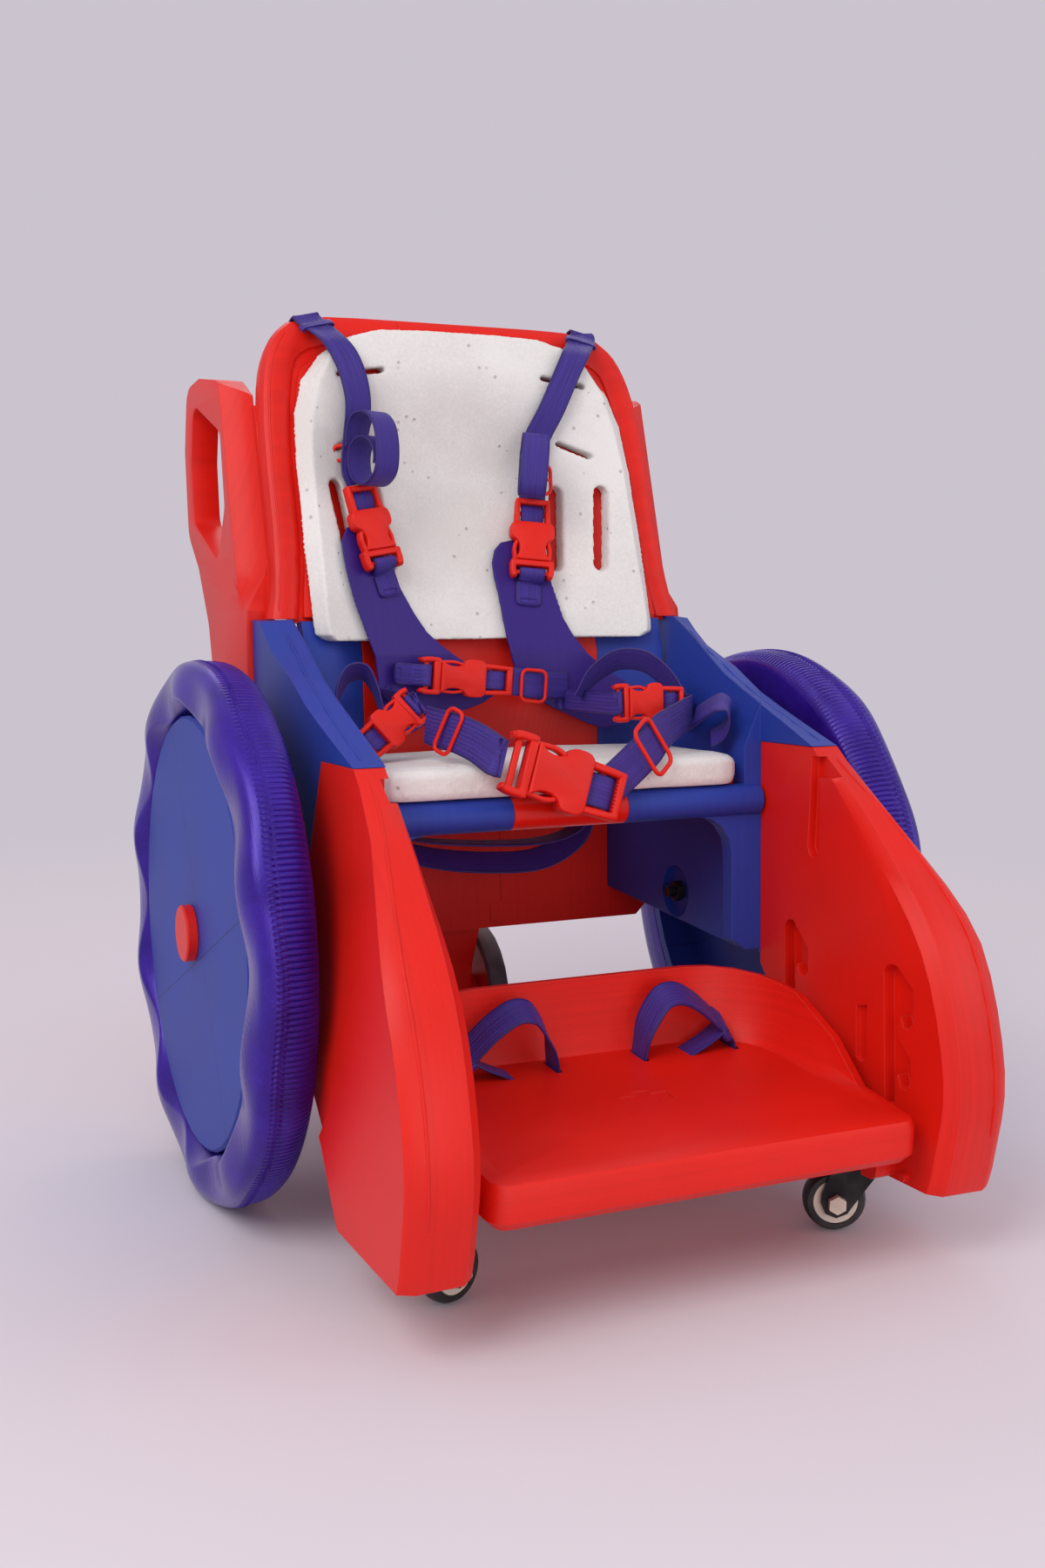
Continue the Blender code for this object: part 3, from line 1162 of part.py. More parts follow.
LAP_CENTRE = Vector((-0.0035, -0.0810, 0.2835))
LAP_SOCKET = 0.053
LAP_PLUG = 0.032
LAP_RUN = {
    "right": [(-0.0660, -0.0660, 0.3110), (-0.0730, -0.0480, 0.3165), (-0.0790, -0.0290, 0.3190),
              (-0.0820, -0.0170, 0.3210)],
    "left": [(0.0530, -0.0700, 0.3030), (0.0680, -0.0600, 0.3125), (0.0860, -0.0450, 0.3175),
             (0.1020, -0.0300, 0.3205), (0.1160, -0.0140, 0.3215), (0.1275, 0.0030, 0.3215),
             (0.1335, 0.0190, 0.3215), (0.1344, 0.0340, 0.3215)],
}


def make_lap():
    """The lap buckle in front of the seat rail, and the two lap straps that run back to the hips."""
    along = Vector((0.941, -0.02, -0.338)).normalized()
    out = Vector((-0.10, -1, 0.20))
    out = (out - along * out.dot(along)).normalized()
    across = out.cross(along).normalized()
    place_ = (LAP_CENTRE, along, across, out)
    socket, plug = make_buckle(("lap_socket", "lap_plug"), place_, 0.042, LAP_SOCKET, LAP_PLUG, 0.011)
    up = Vector((0, 0, 1))
    start = LAP_CENTRE - along * (LAP_SOCKET + 2 * GAP)
    path = [start, start - along * 0.003, start - along * 0.006] + [Vector(p) for p in LAP_RUN["right"]]
    wide = [across, across, across, Vector((0.25, 0.1, 1)), Vector((0.2, 0.1, 1)), Vector((0.1, 0.1, 1)), up]
    right = ribbon("lap_strap_right", path, wide, LAP_WEB_W, WEB_T, PURPLE_WEBBING)
    start = LAP_CENTRE + along * (LAP_PLUG - 0.011) - out * 0.0064
    rise = (along * 0.55 + across * math.copysign(0.83, across.z)).normalized()
    path = [start, start + rise * 0.008, start + rise * 0.016] + [Vector(p) for p in LAP_RUN["left"]]
    level = out.cross(rise)
    level = level * math.copysign(1, level.z)
    wide = [level, level, level, Vector((-0.40, 0.10, 0.92)), Vector((-0.30, 0.10, 0.95))] + [up] * 6
    left = ribbon("lap_strap_left", path, wide, LAP_WEB_W, WEB_T, PURPLE_WEBBING)
    axis = (path[4] - path[3]).normalized()
    face = axis.cross(wide[3])
    if face.y > 0:
        face = -face
    face = (face - axis * face.dot(axis)).normalized()
    middle = path[3] + axis * 0.001 + face * 0.0038
    slider = make_slider("lap_slider_left", (middle, axis, face.cross(axis), face), 0.036, 0.025)
    carry("lap_release", LAP_CENTRE, plug)
    return socket, plug, right, left, slider


# Each hip buckle's centre, its length's direction and its outward direction
HIP = {
    "right": ((-0.1030, -0.0100, 0.3215), (0.80, 0.22, 0.56), (-0.33, -0.94, 0.08)),
    "left": ((0.0850, -0.0090, 0.3300), (-0.96, 0.25, 0), (-0.25, -0.96, 0.12)),
}


def make_hip(word, side):
    """A hip buckle, one piece here, that ties a vest panel to the lap belt."""
    centre, along, out = (Vector(value) for value in HIP[word])
    along.normalize()
    out = (out - along * out.dot(along)).normalized()
    place_ = (centre, along, out.cross(along), out)
    h = 0.0135
    edge = [(-0.026, h - 0.003), (-0.010, h - 0.003), (-0.006, h), (0.008, h), (0.012, h - 0.004), (0.024, h - 0.003)]
    body = buckle_half(f"hip_buckle_{word}", place_, edge + [(u, -v) for u, v in edge[::-1]], 0.009)
    return cut(body, hollow(place_, -0.023, -0.013, h - 0.006, 0.02))


def build():
    for word, side in SIDES.items():
        make_wheel(word, side)
        make_arm(word, side)
        make_side_frame(word, side)
        make_upright(word, side)
        make_caster(word, side)
        make_vest(word, side)
        make_shoulder(word, side)
        make_hip(word, side)
    make_back()
    make_back_pad()
    make_rear_panels()
    make_seat()
    make_rear()
    tray = make_footplate()
    straps = [make_foot_strap(word, side) for word, side in SIDES.items()]
    carry("footplate_lift", foot_point(0, FOOT_DEPTH / 2, 0), *tray, *straps)
    make_chest()
    make_lap()
    stand()


build()
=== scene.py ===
# %% [markdown]
# # A toddler's mobility trainer
# A small printed wheelchair: red and blue printed plastic, two purple wheels with wavy tyres,
# white foam pads and a purple harness with red buckles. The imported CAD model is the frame. Its
# rigid pieces stay and get real finishes, and its soft and plain ones are replaced by fuller ones.

# %% Load the frame
import math

import bmesh
import bpy
from mathutils import Matrix, Vector, noise
from mathutils.bvhtree import BVHTree


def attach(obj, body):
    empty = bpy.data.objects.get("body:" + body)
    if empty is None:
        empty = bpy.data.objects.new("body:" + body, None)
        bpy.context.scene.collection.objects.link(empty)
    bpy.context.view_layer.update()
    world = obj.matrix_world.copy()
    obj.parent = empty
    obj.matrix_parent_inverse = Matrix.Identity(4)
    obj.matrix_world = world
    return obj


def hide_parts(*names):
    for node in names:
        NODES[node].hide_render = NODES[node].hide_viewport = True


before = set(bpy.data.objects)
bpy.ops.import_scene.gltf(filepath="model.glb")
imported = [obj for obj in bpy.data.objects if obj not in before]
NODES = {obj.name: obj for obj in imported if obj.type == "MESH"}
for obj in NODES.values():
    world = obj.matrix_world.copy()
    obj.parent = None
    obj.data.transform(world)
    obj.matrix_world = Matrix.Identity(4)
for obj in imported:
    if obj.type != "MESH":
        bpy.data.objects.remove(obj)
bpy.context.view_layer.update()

# %% [markdown]
# The chair's own drawing is square to its seat plate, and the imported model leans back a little,
# so that the big wheels and the casters stand on one floor. Every point below is given in the
# drawing's frame, and one matrix takes it to the floor.

# %% From the drawing to the floor
LEAN_BACK = 0.0435002
CASTER_Y = -0.1689922
CENTRE_SHIFT = -0.0141163
TO_FLOOR = (Matrix.Translation((0, CASTER_Y + CENTRE_SHIFT, 0)) @ Matrix.Rotation(-LEAN_BACK, 4, "X")
            @ Matrix.Translation((0, -CASTER_Y, 0)))
WHEEL_Y, AXLE_Z = 0.0385, 0.187
SIDES = {"left": 1, "right": -1}
print("the axle stands at", tuple(round(v, 4) for v in TO_FLOOR @ Vector((0, WHEEL_Y, AXLE_Z))))

# %% [markdown]
# A photograph fixes the camera: the straight edges and round wheels of the chair gave its place
# and lens. The view transform is Standard, so that a colour comes out about as it is written.

# %% The camera
LENS = 37.9
view = bpy.data.cameras.new("camera")
view.sensor_fit = "VERTICAL"
view.sensor_height = 36
view.lens = LENS
view.clip_start = 0.05
camera = bpy.data.objects.new("camera", view)
camera.matrix_world = Matrix((
    (0.91305, 0.04957, -0.40482, -0.4613), (-0.40779, 0.12737, -0.90415, -1.01852),
    (0.00674, 0.99062, 0.13651, 0.42273), (0, 0, 0, 1)))
bpy.context.scene.collection.objects.link(camera)
bpy.context.scene.camera = camera
bpy.context.scene.view_settings.view_transform = "Standard"
print("lens", view.lens, "mm")

# %% [markdown]
# Shader maths reads best as Python. A Wire holds one socket, and the usual operators on it add
# Math nodes. Anything that isn't plain arithmetic comes from `node`, which takes a node's type,
# its settings and then the values or links of its sockets.

# %% One class for shader maths
class Wire:
    """A value in a shader, which Python's operators build on."""

    def __init__(self, tree, socket=None):
        self.tree = tree
        self.socket = socket

    def node(self, kind, settings=None, sockets=None, output=0):
        made = self.tree.nodes.new("ShaderNode" + kind)
        for key, value in (settings or {}).items():
            setattr(made, key, value)
        plug_in(made, sockets or {})
        return Wire(self.tree, made.outputs[output])

    def math(self, operation, *values):
        return self.node("Math", {"operation": operation}, dict(enumerate(values)))

    def __add__(self, other):
        return self.math("ADD", self, other)

    def __sub__(self, other):
        return self.math("SUBTRACT", self, other)

    def __rsub__(self, other):
        return self.math("SUBTRACT", other, self)

    def __mul__(self, other):
        return self.math("MULTIPLY", self, other)

    __radd__ = __add__
    __rmul__ = __mul__

    def wave(self, pitch):
        """A smooth wave from 0 to 1 that repeats every pitch."""
        return self.math("SINE", self * (2 * math.pi / pitch)) * 0.5 + 0.5

    def pingpong(self, pitch):
        """Rises from 0 to the pitch and falls again, over and over."""
        return self.math("PINGPONG", self, pitch)

    def size(self):
        return self.math("ABSOLUTE", self)

    def part(self, way):
        """One of a vector's three numbers: X, Y or Z."""
        return self.node("SeparateXYZ", sockets={0: self}, output=way)

    def noise(self, scale, detail, **more):
        return self.node("TexNoise", sockets={"Vector": self, "Scale": scale, "Detail": detail, **more})

    def between(self, low, high):
        """0 below low, 1 above high and soft in between."""
        return self.node("MapRange", {"interpolation_type": "SMOOTHSTEP"},
                         {"Value": self, "From Min": low, "From Max": high})

    def mix(self, first, second):
        """The first colour where this is 0 and the second where it is 1."""
        return self.node("Mix", {"data_type": "RGBA"}, {0: self, 6: first, 7: second}, output=2)


# %% Sockets, colours and a first finish
def plug_in(made, sockets):
    """Links a node's sockets, or writes their values."""
    for key, value in sockets.items():
        if isinstance(value, Wire):
            made.id_data.links.new(value.socket, made.inputs[key])
        elif made.inputs[key].type == "RGBA":
            made.inputs[key].default_value = (*value, 1)
        else:
            made.inputs[key].default_value = value


def tint(red, green, blue):
    """A colour as a screen shows it, 0 to 255, turned into light values."""
    values = [value / 255 for value in (red, green, blue)]
    return tuple(v / 12.92 if v < 0.04045 else ((v + 0.055) / 1.055) ** 2.4 for v in values)


def start_finish(name):
    made = bpy.data.materials.new(name)
    made.use_nodes = True
    return made, Wire(made.node_tree), made.node_tree.nodes["Principled BSDF"]


print("white is", tint(255, 255, 255))

# %% [markdown]
# The chair stands on a pale studio sweep. A floor that fades out a good way from the chair keeps
# its soft shadow and lets the plain backdrop show behind, from every side. The backdrop's colour
# is only for what the camera sees and what gloss mirrors, and the room's light is set apart.

# %% The floor and the backdrop
BACKDROP = tint(203, 196, 206)
ROOM_LIGHT = tint(200, 197, 204)
FLOOR_TONE = tint(226, 218, 224)
FLOOR_R = 2.2
FADE_FROM, FADE_TO = 0.55, 2.1
world = bpy.data.worlds.new("studio")
world.use_nodes = True
room = Wire(world.node_tree)
by_camera, by_gloss, through_glass = (
    room.node("LightPath", output=f"Is {way} Ray") for way in ("Camera", "Glossy", "Transmission"))
seen = room.math("MAXIMUM", room.math("MAXIMUM", by_camera, by_gloss), through_glass)
background = world.node_tree.nodes["Background"]
plug_in(background, {"Color": seen.mix(ROOM_LIGHT, BACKDROP), "Strength": 1.0})
bpy.context.scene.world = world

sweep, floor_paint = start_finish("studio_floor")[:2]
where = floor_paint.node("TexCoord", output="Object")
distance = where.node("VectorMath", {"operation": "LENGTH"}, {0: where}, output="Value")
diffuse = where.node("BsdfDiffuse", sockets={"Color": FLOOR_TONE})
clear = where.node("BsdfTransparent")
faded = where.node("MixShader", sockets={0: distance.between(FADE_FROM, FADE_TO), 1: diffuse, 2: clear})
out = sweep.node_tree.nodes["Material Output"]
sweep.node_tree.links.new(faded.socket, out.inputs["Surface"])
bpy.ops.mesh.primitive_circle_add(vertices=96, radius=FLOOR_R, fill_type="NGON")
floor = bpy.context.object
floor.name = "studio_floor"
floor.data.materials.append(sweep)
print("floor radius", FLOOR_R, "m")

# %% [markdown]
# The light is a wide soft box high on the left, as in the photograph. A weaker fill on the right
# and another low in front reach under the seat, and a long strip behind draws the bright line
# along round edges.

# %% Soft studio lamps
def soft_box(name, place, aim, size, power, colour=(1, 1, 1)):
    lamp = bpy.data.lights.new(name, "AREA")
    lamp.shape = "RECTANGLE"
    lamp.size, lamp.size_y = size
    lamp.energy = power
    lamp.color = colour
    made = bpy.data.objects.new(name, lamp)
    made.location = place
    made.rotation_euler = (Vector(aim) - Vector(place)).to_track_quat("-Z", "Y").to_euler()
    bpy.context.scene.collection.objects.link(made)
    return made


LAMPS = [
    soft_box("key_light", (-1.5, -1.0, 1.75), (0, 0, 0.25), (1.3, 1.3), 23, (1.0, 0.985, 0.97)),
    soft_box("fill_light", (1.6, -1.2, 1.0), (0, 0, 0.3), (1.2, 1.2), 6, (0.96, 0.97, 1.0)),
    soft_box("front_fill", (-0.3, -2.2, 0.45), (0, 0, 0.2), (1.4, 0.9), 7),
    soft_box("back_strip", (0.5, 1.5, 1.7), (0, 0, 0.4), (1.6, 0.5), 6),
]
print([lamp.name for lamp in LAMPS])

# %% [markdown]
# Almost everything here is 3-D printed. A print shows fine layer lines in one direction, a faint
# grain, and edges that are slightly round and catch the light. The Bevel node bends the normals
# near an edge, which rounds it without more faces, and where it differs from the true normal
# there is an edge, so the same node also gives the mask for a paler, worn rim.

# %% Printed plastic
def round_edge(place, radius):
    """Normals that bend near an edge, and a mask that is 1 on the edge."""
    rounded = place.node("Bevel", {"samples": 4}, {"Radius": radius}, output="Normal")
    flat = place.node("NewGeometry", output="Normal")
    alike = place.node("VectorMath", {"operation": "DOT_PRODUCT"}, {0: rounded, 1: flat}, output="Value")
    return rounded, (1 - alike).between(0.02, 0.30)


def bump(height, distance, strength=1.0, **normal):
    given = {"Strength": strength, "Distance": distance, "Height": height, **normal}
    return height.node("Bump", sockets=given)


def printed(name, colour, roughness, layers="Z", pitch=0.0008, lines=0.10, grain=0.14, edge=0.0008):
    """Printed plastic: lines and grain say how much its layers and its grain stand out."""
    made, paint, shader = start_finish(name)
    place = paint.node("TexCoord", output="Object")
    height = place.part(layers)
    soft, fine = place.noise(9, 3), place.noise(1300, 1)
    uneven = height.node("TexNoise", {"noise_dimensions": "1D"}, {"W": height, "Scale": 260, "Detail": 2})
    ridges = (height + soft * 0.0006).wave(pitch) * uneven
    rounded, rim = round_edge(place, edge)
    pale = tuple(min(1, value * 1.12 + 0.035) for value in colour)
    deep = tuple(value * 0.86 for value in colour)
    tone = (soft * 0.55 + uneven * 0.25 + fine * 0.20).between(0.36, 0.62)
    plug_in(shader, {"Base Color": rim.mix(tone.mix(deep, colour), pale),
                     "Roughness": roughness + (fine - 0.5) * 0.10 + soft * 0.05,
                     "Normal": bump(ridges * lines + fine * grain, 0.00045, Normal=rounded),
                     "Specular IOR Level": 0.32})
    return made


RED = tint(228, 27, 12)
BLUE = tint(38, 62, 160)
RED_PRINT = {way: printed(f"printed_red_{way.lower()}", RED, 0.40, way) for way in "XYZ"}
BLUE_PRINT = printed("printed_blue_x", BLUE, 0.44, "X")
GLOSSY_RED = printed("glossy_red_rail", RED, 0.27, "X", lines=0.05, grain=0.05)
BUCKLE_RED = printed("powdery_red_buckle", tint(230, 30, 14), 0.42, "Y", 0.0007, 0.05, 0.22, 0.0006)
print(len(bpy.data.materials), "finishes so far")

# %% [markdown]
# The wheel's blue disc is one big flat print, joined from segments. Two thin seams run right
# across it beside the hub, with a short dash every few centimetres where a key holds them.

# %% The wheel disc's blue with its seams
WHEEL_CENTRE = TO_FLOOR @ Vector((0, WHEEL_Y, AXLE_Z))
# Each seam has its turn in degrees, its distance from the hub's middle and the pitch of its dashes.
SEAMS = ((62, 0.0195, 0.034), (-24, -0.020, 0.047))


def disc_finish(name):
    made = printed(name, BLUE, 0.50, "X", lines=0.03, grain=0.16)
    tree = made.node_tree
    shader = tree.nodes["Principled BSDF"]
    base = Wire(tree, shader.inputs["Base Color"].links[0].from_socket)
    place = base.node("TexCoord", output="Object")
    flat, high = place.part("Y") - WHEEL_CENTRE.y, place.part("Z") - WHEEL_CENTRE.z
    marks = []
    for turn, offset, pitch in SEAMS:
        c, s = math.cos(math.radians(turn)), math.sin(math.radians(turn))
        off = (flat * -s + high * c - offset).size()
        dash = (flat * c + high * s).pingpong(pitch)
        marks += [1 - off.between(0.00022, 0.00055),
                  (1 - dash.between(0.0016, 0.0026)) * (1 - off.between(0.0007, 0.0012))]
    dark = marks[0]
    for mark in marks[1:]:
        dark = dark.math("MAXIMUM", dark, mark)
    plug_in(shader, {"Base Color": (dark * 0.8).mix(base, tint(14, 22, 84))})
    return made


DISC_BLUE = disc_finish("wheel_disc_blue")
print(DISC_BLUE.name, "has", len(SEAMS), "seams")

# %% [markdown]
# Silk filament gives the tyres a pearly sheen. It is a part-metallic purple with a thin coat, and
# its fine layer lines follow planes square to the axle, so they bend round every lobe.

# %% Silk purple
def silk(name, colour, glow):
    made, paint, shader = start_finish(name)
    place = paint.node("TexCoord", output="Object")
    cloud, fine = place.noise(22, 4, Roughness=0.6), place.noise(900, 2)
    lines = (place.part("X") + cloud * 0.0002).wave(0.0007)
    tone = (cloud * 0.7 + fine * 0.3).between(0.35, 0.65)
    plug_in(shader, {"Base Color": tone.mix(colour, glow), "Roughness": 0.22 + fine * 0.06,
                     "Metallic": 0.30, "Coat Weight": 0.12, "Coat Roughness": 0.15,
                     "Normal": bump(lines * 0.14 + fine * 0.04, 0.00030), "Specular IOR Level": 0.30})
    return made


SILK = silk("silk_purple_tyre", tint(48, 18, 128), tint(62, 32, 158))
SMOOTH_PURPLE = printed("printed_purple_sheet", tint(52, 25, 122), 0.46, "X", 0.0009, 0.05, 0.06, 0.0010)
print("silk and sheet purples are mixed")

# %% [markdown]
# Foam is matt and warm white, with small open pits where the cut went through a bubble. Voronoi
# cells give the pits: only where a cell's own random value is high does its centre turn into one.
# The bump dents each pit, and painted shade darkens its colour as if shade lay inside it.

# %% Foam
def foam(name):
    made, paint, shader = start_finish(name)
    place = paint.node("TexCoord", output="Object")
    cell = {"Vector": place, "Scale": 160}
    near = place.node("TexVoronoi", sockets=cell, output="Distance")
    chance = place.node("TexVoronoi", sockets=cell, output="Color")
    chance = place.node("SeparateColor", sockets={0: chance}, output=0)
    pit_dent_and_shade = (1 - near.between(0.10, 0.24)) * chance.between(0.86, 0.90)
    cloud, grain = place.noise(14, 3), place.noise(520, 3)
    tone = (cloud * 0.6 + grain * 0.4).between(0.35, 0.65).mix(tint(221, 216, 211), tint(233, 229, 225))
    # painted shade: inside a pit the base colour darkens towards tint(150, 138, 130), for the shade in the
    # hole
    plug_in(shader, {"Base Color": (pit_dent_and_shade * 0.45).mix(tone, tint(150, 138, 130)),
                     "Roughness": 0.86 + grain * 0.08,
                     "Normal": bump(grain * 0.35 + cloud * 0.5 - pit_dent_and_shade, 0.0007, 0.9),
                     "Specular IOR Level": 0.25})
    return made


FOAM = foam("cut_white_foam")
print(FOAM.name, "has", len(FOAM.node_tree.nodes), "nodes")

# %% [markdown]
# The harness is woven polyester webbing. Each strap carries its own measure in an attribute, how
# far across and how far along a point lies in metres, so the weave follows every bend. The weave
# is rows of slanted stitches that change their slant from row to row, between two firm edges.
# Lengthwise streaks of painted sheen, mixed with a random fuzz, lighten its colour.

# %% Webbing
STITCH = 0.00105
ROW = 0.0025


def woven(name, colour, glow):
    made, paint, shader = start_finish(name)
    run = paint.node("Attribute", {"attribute_name": "run"}, output="Vector")
    across, along, edge = run.part("X"), run.part("Y"), run.part("Z").between(0.78, 0.92)
    stitches = (along + across.pingpong(ROW / 2) * 0.9).wave(STITCH)
    rows = across.wave(ROW)
    fuzz = run.noise(700, 3)
    streak = run.node("Mapping", sockets={"Vector": run, "Scale": (520, 16, 0)}).noise(1, 2)
    # painted sheen: streaks along the strap, with random fuzz, lift the colour towards glow, the painted
    # sheen's colour
    painted_sheen_streaks = (streak * 0.45 + rows * 0.05 + fuzz * 0.5).between(0.34, 0.66).mix(colour, glow)
    deep = tuple(value * 0.8 for value in colour)
    relief = stitches * (1 - edge * 0.6) * 0.8 + rows * 0.12 + fuzz * 0.25
    plug_in(shader, {"Base Color": edge.mix(painted_sheen_streaks, deep), "Roughness": 0.40 + fuzz * 0.16,
                     "Normal": bump(relief, 0.00028, 0.8), "Metallic": 0.06,
                     "Sheen Weight": 0.14, "Sheen Roughness": 0.35, "Sheen Tint": (0.45, 0.40, 0.9)})
    return made


# the second tint is the colour of the painted sheen streaks
WEBBING = woven("woven_purple_webbing", tint(46, 24, 116), tint(64, 42, 150))
print(WEBBING.name, "repeats every", round(STITCH * 1000, 2), "mm")

# %% [markdown]
# The small hardware is bought in: zinc bearings, black bolts and caster forks, rubber tyres and
# cream hubs. Each gets smudges and fine scratches or dust from noise that fits its size.

# %% Metal, rubber and moulded plastic
HARDWARE_EDGE = 0.0004


def hardware(name, colour, roughness, metallic, grain, scale):
    made, paint, shader = start_finish(name)
    place = paint.node("TexCoord", output="Object")
    smudge, fine = place.noise(40, 4), place.noise(scale, 3)
    rounded, rim = round_edge(place, HARDWARE_EDGE)
    pale = tuple(min(1, value * 1.3 + 0.03) for value in colour)
    plug_in(shader, {"Base Color": (rim * 0.8).mix(smudge.between(0.35, 0.65).mix(colour, pale), pale),
                     "Roughness": roughness + (smudge - 0.5) * 0.2, "Metallic": metallic,
                     "Normal": bump(fine * grain, 0.0003, Normal=rounded)})
    return made


STEEL = hardware("zinc_steel", tint(190, 190, 194), 0.32, 1.0, 0.05, 900)
BLACK_STEEL = hardware("black_caster_steel", tint(24, 24, 26), 0.36, 0.6, 0.10, 700)
RUBBER = hardware("black_caster_rubber", tint(22, 22, 23), 0.58, 0.0, 0.25, 1200)
GREY_RUBBER = hardware("grey_tyre_rubber", tint(84, 82, 86), 0.62, 0.0, 0.25, 900)
CREAM = hardware("cream_hub", tint(214, 204, 186), 0.38, 0.0, 0.08, 700)
print("hardware finishes:", [m.name for m in (STEEL, BLACK_STEEL, RUBBER, GREY_RUBBER, CREAM)])

# %% [markdown]
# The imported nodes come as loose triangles. A small Geometry Nodes modifier joins them, drops the
# imported normals, and shades everything smooth but for edges of more than 35 degrees.

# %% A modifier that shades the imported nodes
SHARP_ANGLE = 35
SAME_POINT = 0.00001


def join_and_shade():
    tree = bpy.data.node_groups.new("join_and_shade", "GeometryNodeTree")
    for way in ("INPUT", "OUTPUT"):
        tree.interface.new_socket("Geometry", in_out=way, socket_type="NodeSocketGeometry")
    into, outof = tree.nodes.new("NodeGroupInput"), tree.nodes.new("NodeGroupOutput")
    merge = tree.nodes.new("GeometryNodeMergeByDistance")
    merge.inputs["Distance"].default_value = SAME_POINT
    edge_angle = tree.nodes.new("GeometryNodeInputMeshEdgeAngle")
    sharp = tree.nodes.new("FunctionNodeCompare")
    sharp.operation = "GREATER_THAN"
    sharp.inputs[1].default_value = math.radians(SHARP_ANGLE)
    normals = tree.nodes.new("GeometryNodeSetMeshNormal")
    normals.inputs["Remove Custom"].default_value = True
    normals.inputs["Face Sharpness"].default_value = False
    link = tree.links.new
    link(into.outputs[0], merge.inputs["Geometry"])
    link(merge.outputs[0], normals.inputs["Mesh"])
    link(edge_angle.outputs[0], sharp.inputs[0])
    link(sharp.outputs[0], normals.inputs["Edge Sharpness"])
    link(normals.outputs[0], outof.inputs[0])
    return tree


JOINED = join_and_shade()
print(JOINED.name, "has", len(JOINED.nodes), "nodes")

# %% [markdown]
# Now each rigid node takes its finish. The direction of its layer lines is the one that it was
# printed in: the arms and side frames on their sides, the back on its face.

# %% Finishes for the rigid nodes
DRESS = {
    "arm": RED_PRINT["X"], "side_frame": BLUE_PRINT, "back_upright": RED_PRINT["Y"],
    "back_top_center": RED_PRINT["Y"], "back_shell": RED_PRINT["Y"], "rear_panel": RED_PRINT["X"],
    "seat_rail_center": GLOSSY_RED, "seat_pan": RED_PRINT["Z"], "footplate": RED_PRINT["Z"],
    "rear_bracket": RED_PRINT["Z"], "rear_hub": RED_PRINT["X"], "rear_tyre": GREY_RUBBER,
    "hub_cap": RED_PRINT["Z"], "wheel_disc": DISC_BLUE, "wheel_bearing": STEEL, "axle_bolt": BLACK_STEEL,
    "axle_nut": BLACK_STEEL, "caster_fork": BLACK_STEEL, "caster_tyre": RUBBER, "caster_hub": CREAM,
}
for node_name, node in NODES.items():
    finish = next((paint for word, paint in DRESS.items() if node_name.startswith(word)), None)
    if finish is None:
        continue
    for surface_slot in node.material_slots:
        surface_slot.material = finish
    node.modifiers.new("join_and_shade", "NODES").node_group = JOINED
print([name for name, node in NODES.items() if not node.modifiers], "wait for pieces of their own")

# %% [markdown]
# New pieces are drawn in plain mesh code. Three helpers do most of it: one runs a smooth curve
# through a few points, one joins rings of points to a closed skin, and one turns the skin into an
# object in its place on the floor, with its finish, its body and the CAD nodes that it replaces.

# %% Mesh tools
def smooth_line(points, steps=6):
    """A curve through the points, as a list of vectors."""
    points = [Vector(p) for p in points]
    line = []
    for i in range(len(points) - 1):
        a, b, c, d = points[max(i - 1, 0)], points[i], points[i + 1], points[min(i + 2, len(points) - 1)]
        for step in range(steps):
            t = step / steps
            line.append(0.5 * (2 * b + (c - a) * t + (2 * a - 5 * b + 4 * c - d) * t ** 2
                               + (3 * b - a - 3 * c + d) * t ** 3))
    return line + [points[-1]]


def ahead_at(line, i):
    """The way that a line of points runs at one of them."""
    return (line[min(i + 1, len(line) - 1)] - line[max(i - 1, 0)]).normalized()


def skin(rings, loop=False):
    """Points and faces of a skin over rings of equal length, open or joined end to end."""
    size = len(rings[0])
    points = [p for ring in rings for p in ring]
    faces = []
    for i in range(len(rings) if loop else len(rings) - 1):
        a, b = i * size, (i + 1) % len(rings) * size
        faces += [(a + j, a + (j + 1) % size, b + (j + 1) % size, b + j) for j in range(size)]
    if not loop:
        faces += [tuple(range(size))[::-1], tuple(range(len(points) - size, len(points)))]
    return points, faces


def add_piece(name, points, faces, finish, body, nodes=(), slot="", angle=40, run=None, drawn=True):
    """Makes a piece of the chair and lets it ride on a body: drawn says that its points are the
    drawing's and not yet on the floor."""
    mesh = bpy.data.meshes.new(name)
    mesh.from_pydata([Vector(p) for p in points], [], faces)
    if run:
        measure = mesh.attributes.new("run", "FLOAT_VECTOR", "POINT")
        measure.data.foreach_set("vector", [v for triple in run for v in triple])
    if drawn:
        mesh.transform(TO_FLOOR)
    bm = bmesh.new()
    bm.from_mesh(mesh)
    bmesh.ops.recalc_face_normals(bm, faces=bm.faces)
    bm.to_mesh(mesh)
    bm.free()
    mesh.materials.append(finish)
    mesh.shade_smooth()
    mesh.set_sharp_from_angle(angle=math.radians(angle))
    made = bpy.data.objects.new(name, mesh)
    bpy.context.scene.collection.objects.link(made)
    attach(made, body)
    if nodes:
        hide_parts(*nodes)
    return made


print("a smooth line of", len(smooth_line([(0, 0, 0), (1, 0, 0), (1, 1, 0)])), "points")

# %% [markdown]
# ## The wavy tyres
# Each tyre is one soft silk print with ten lobes on its outer side. Its tread has some three
# hundred rounded ribs that end in a zigzag against the smooth outer lip. The section below is
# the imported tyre's own, and the ribs are cut inward from it, so the wheel doesn't grow. Five
# steps for each rib, and closer points where the zigzag runs, hold every groove as geometry.

# %% The tyre's section
WHEEL_R = 0.1778
DISC_R = WHEEL_R - 0.0358
WHEEL_X = 0.2105
LOBES = 10
RIBS = 300
RIB_STEPS = 5
RIB_DEPTH = 0.0022
TREAD_DEEP = 0.020
ZIGZAG_FROM, ZIGZAG_TO = 16, 24


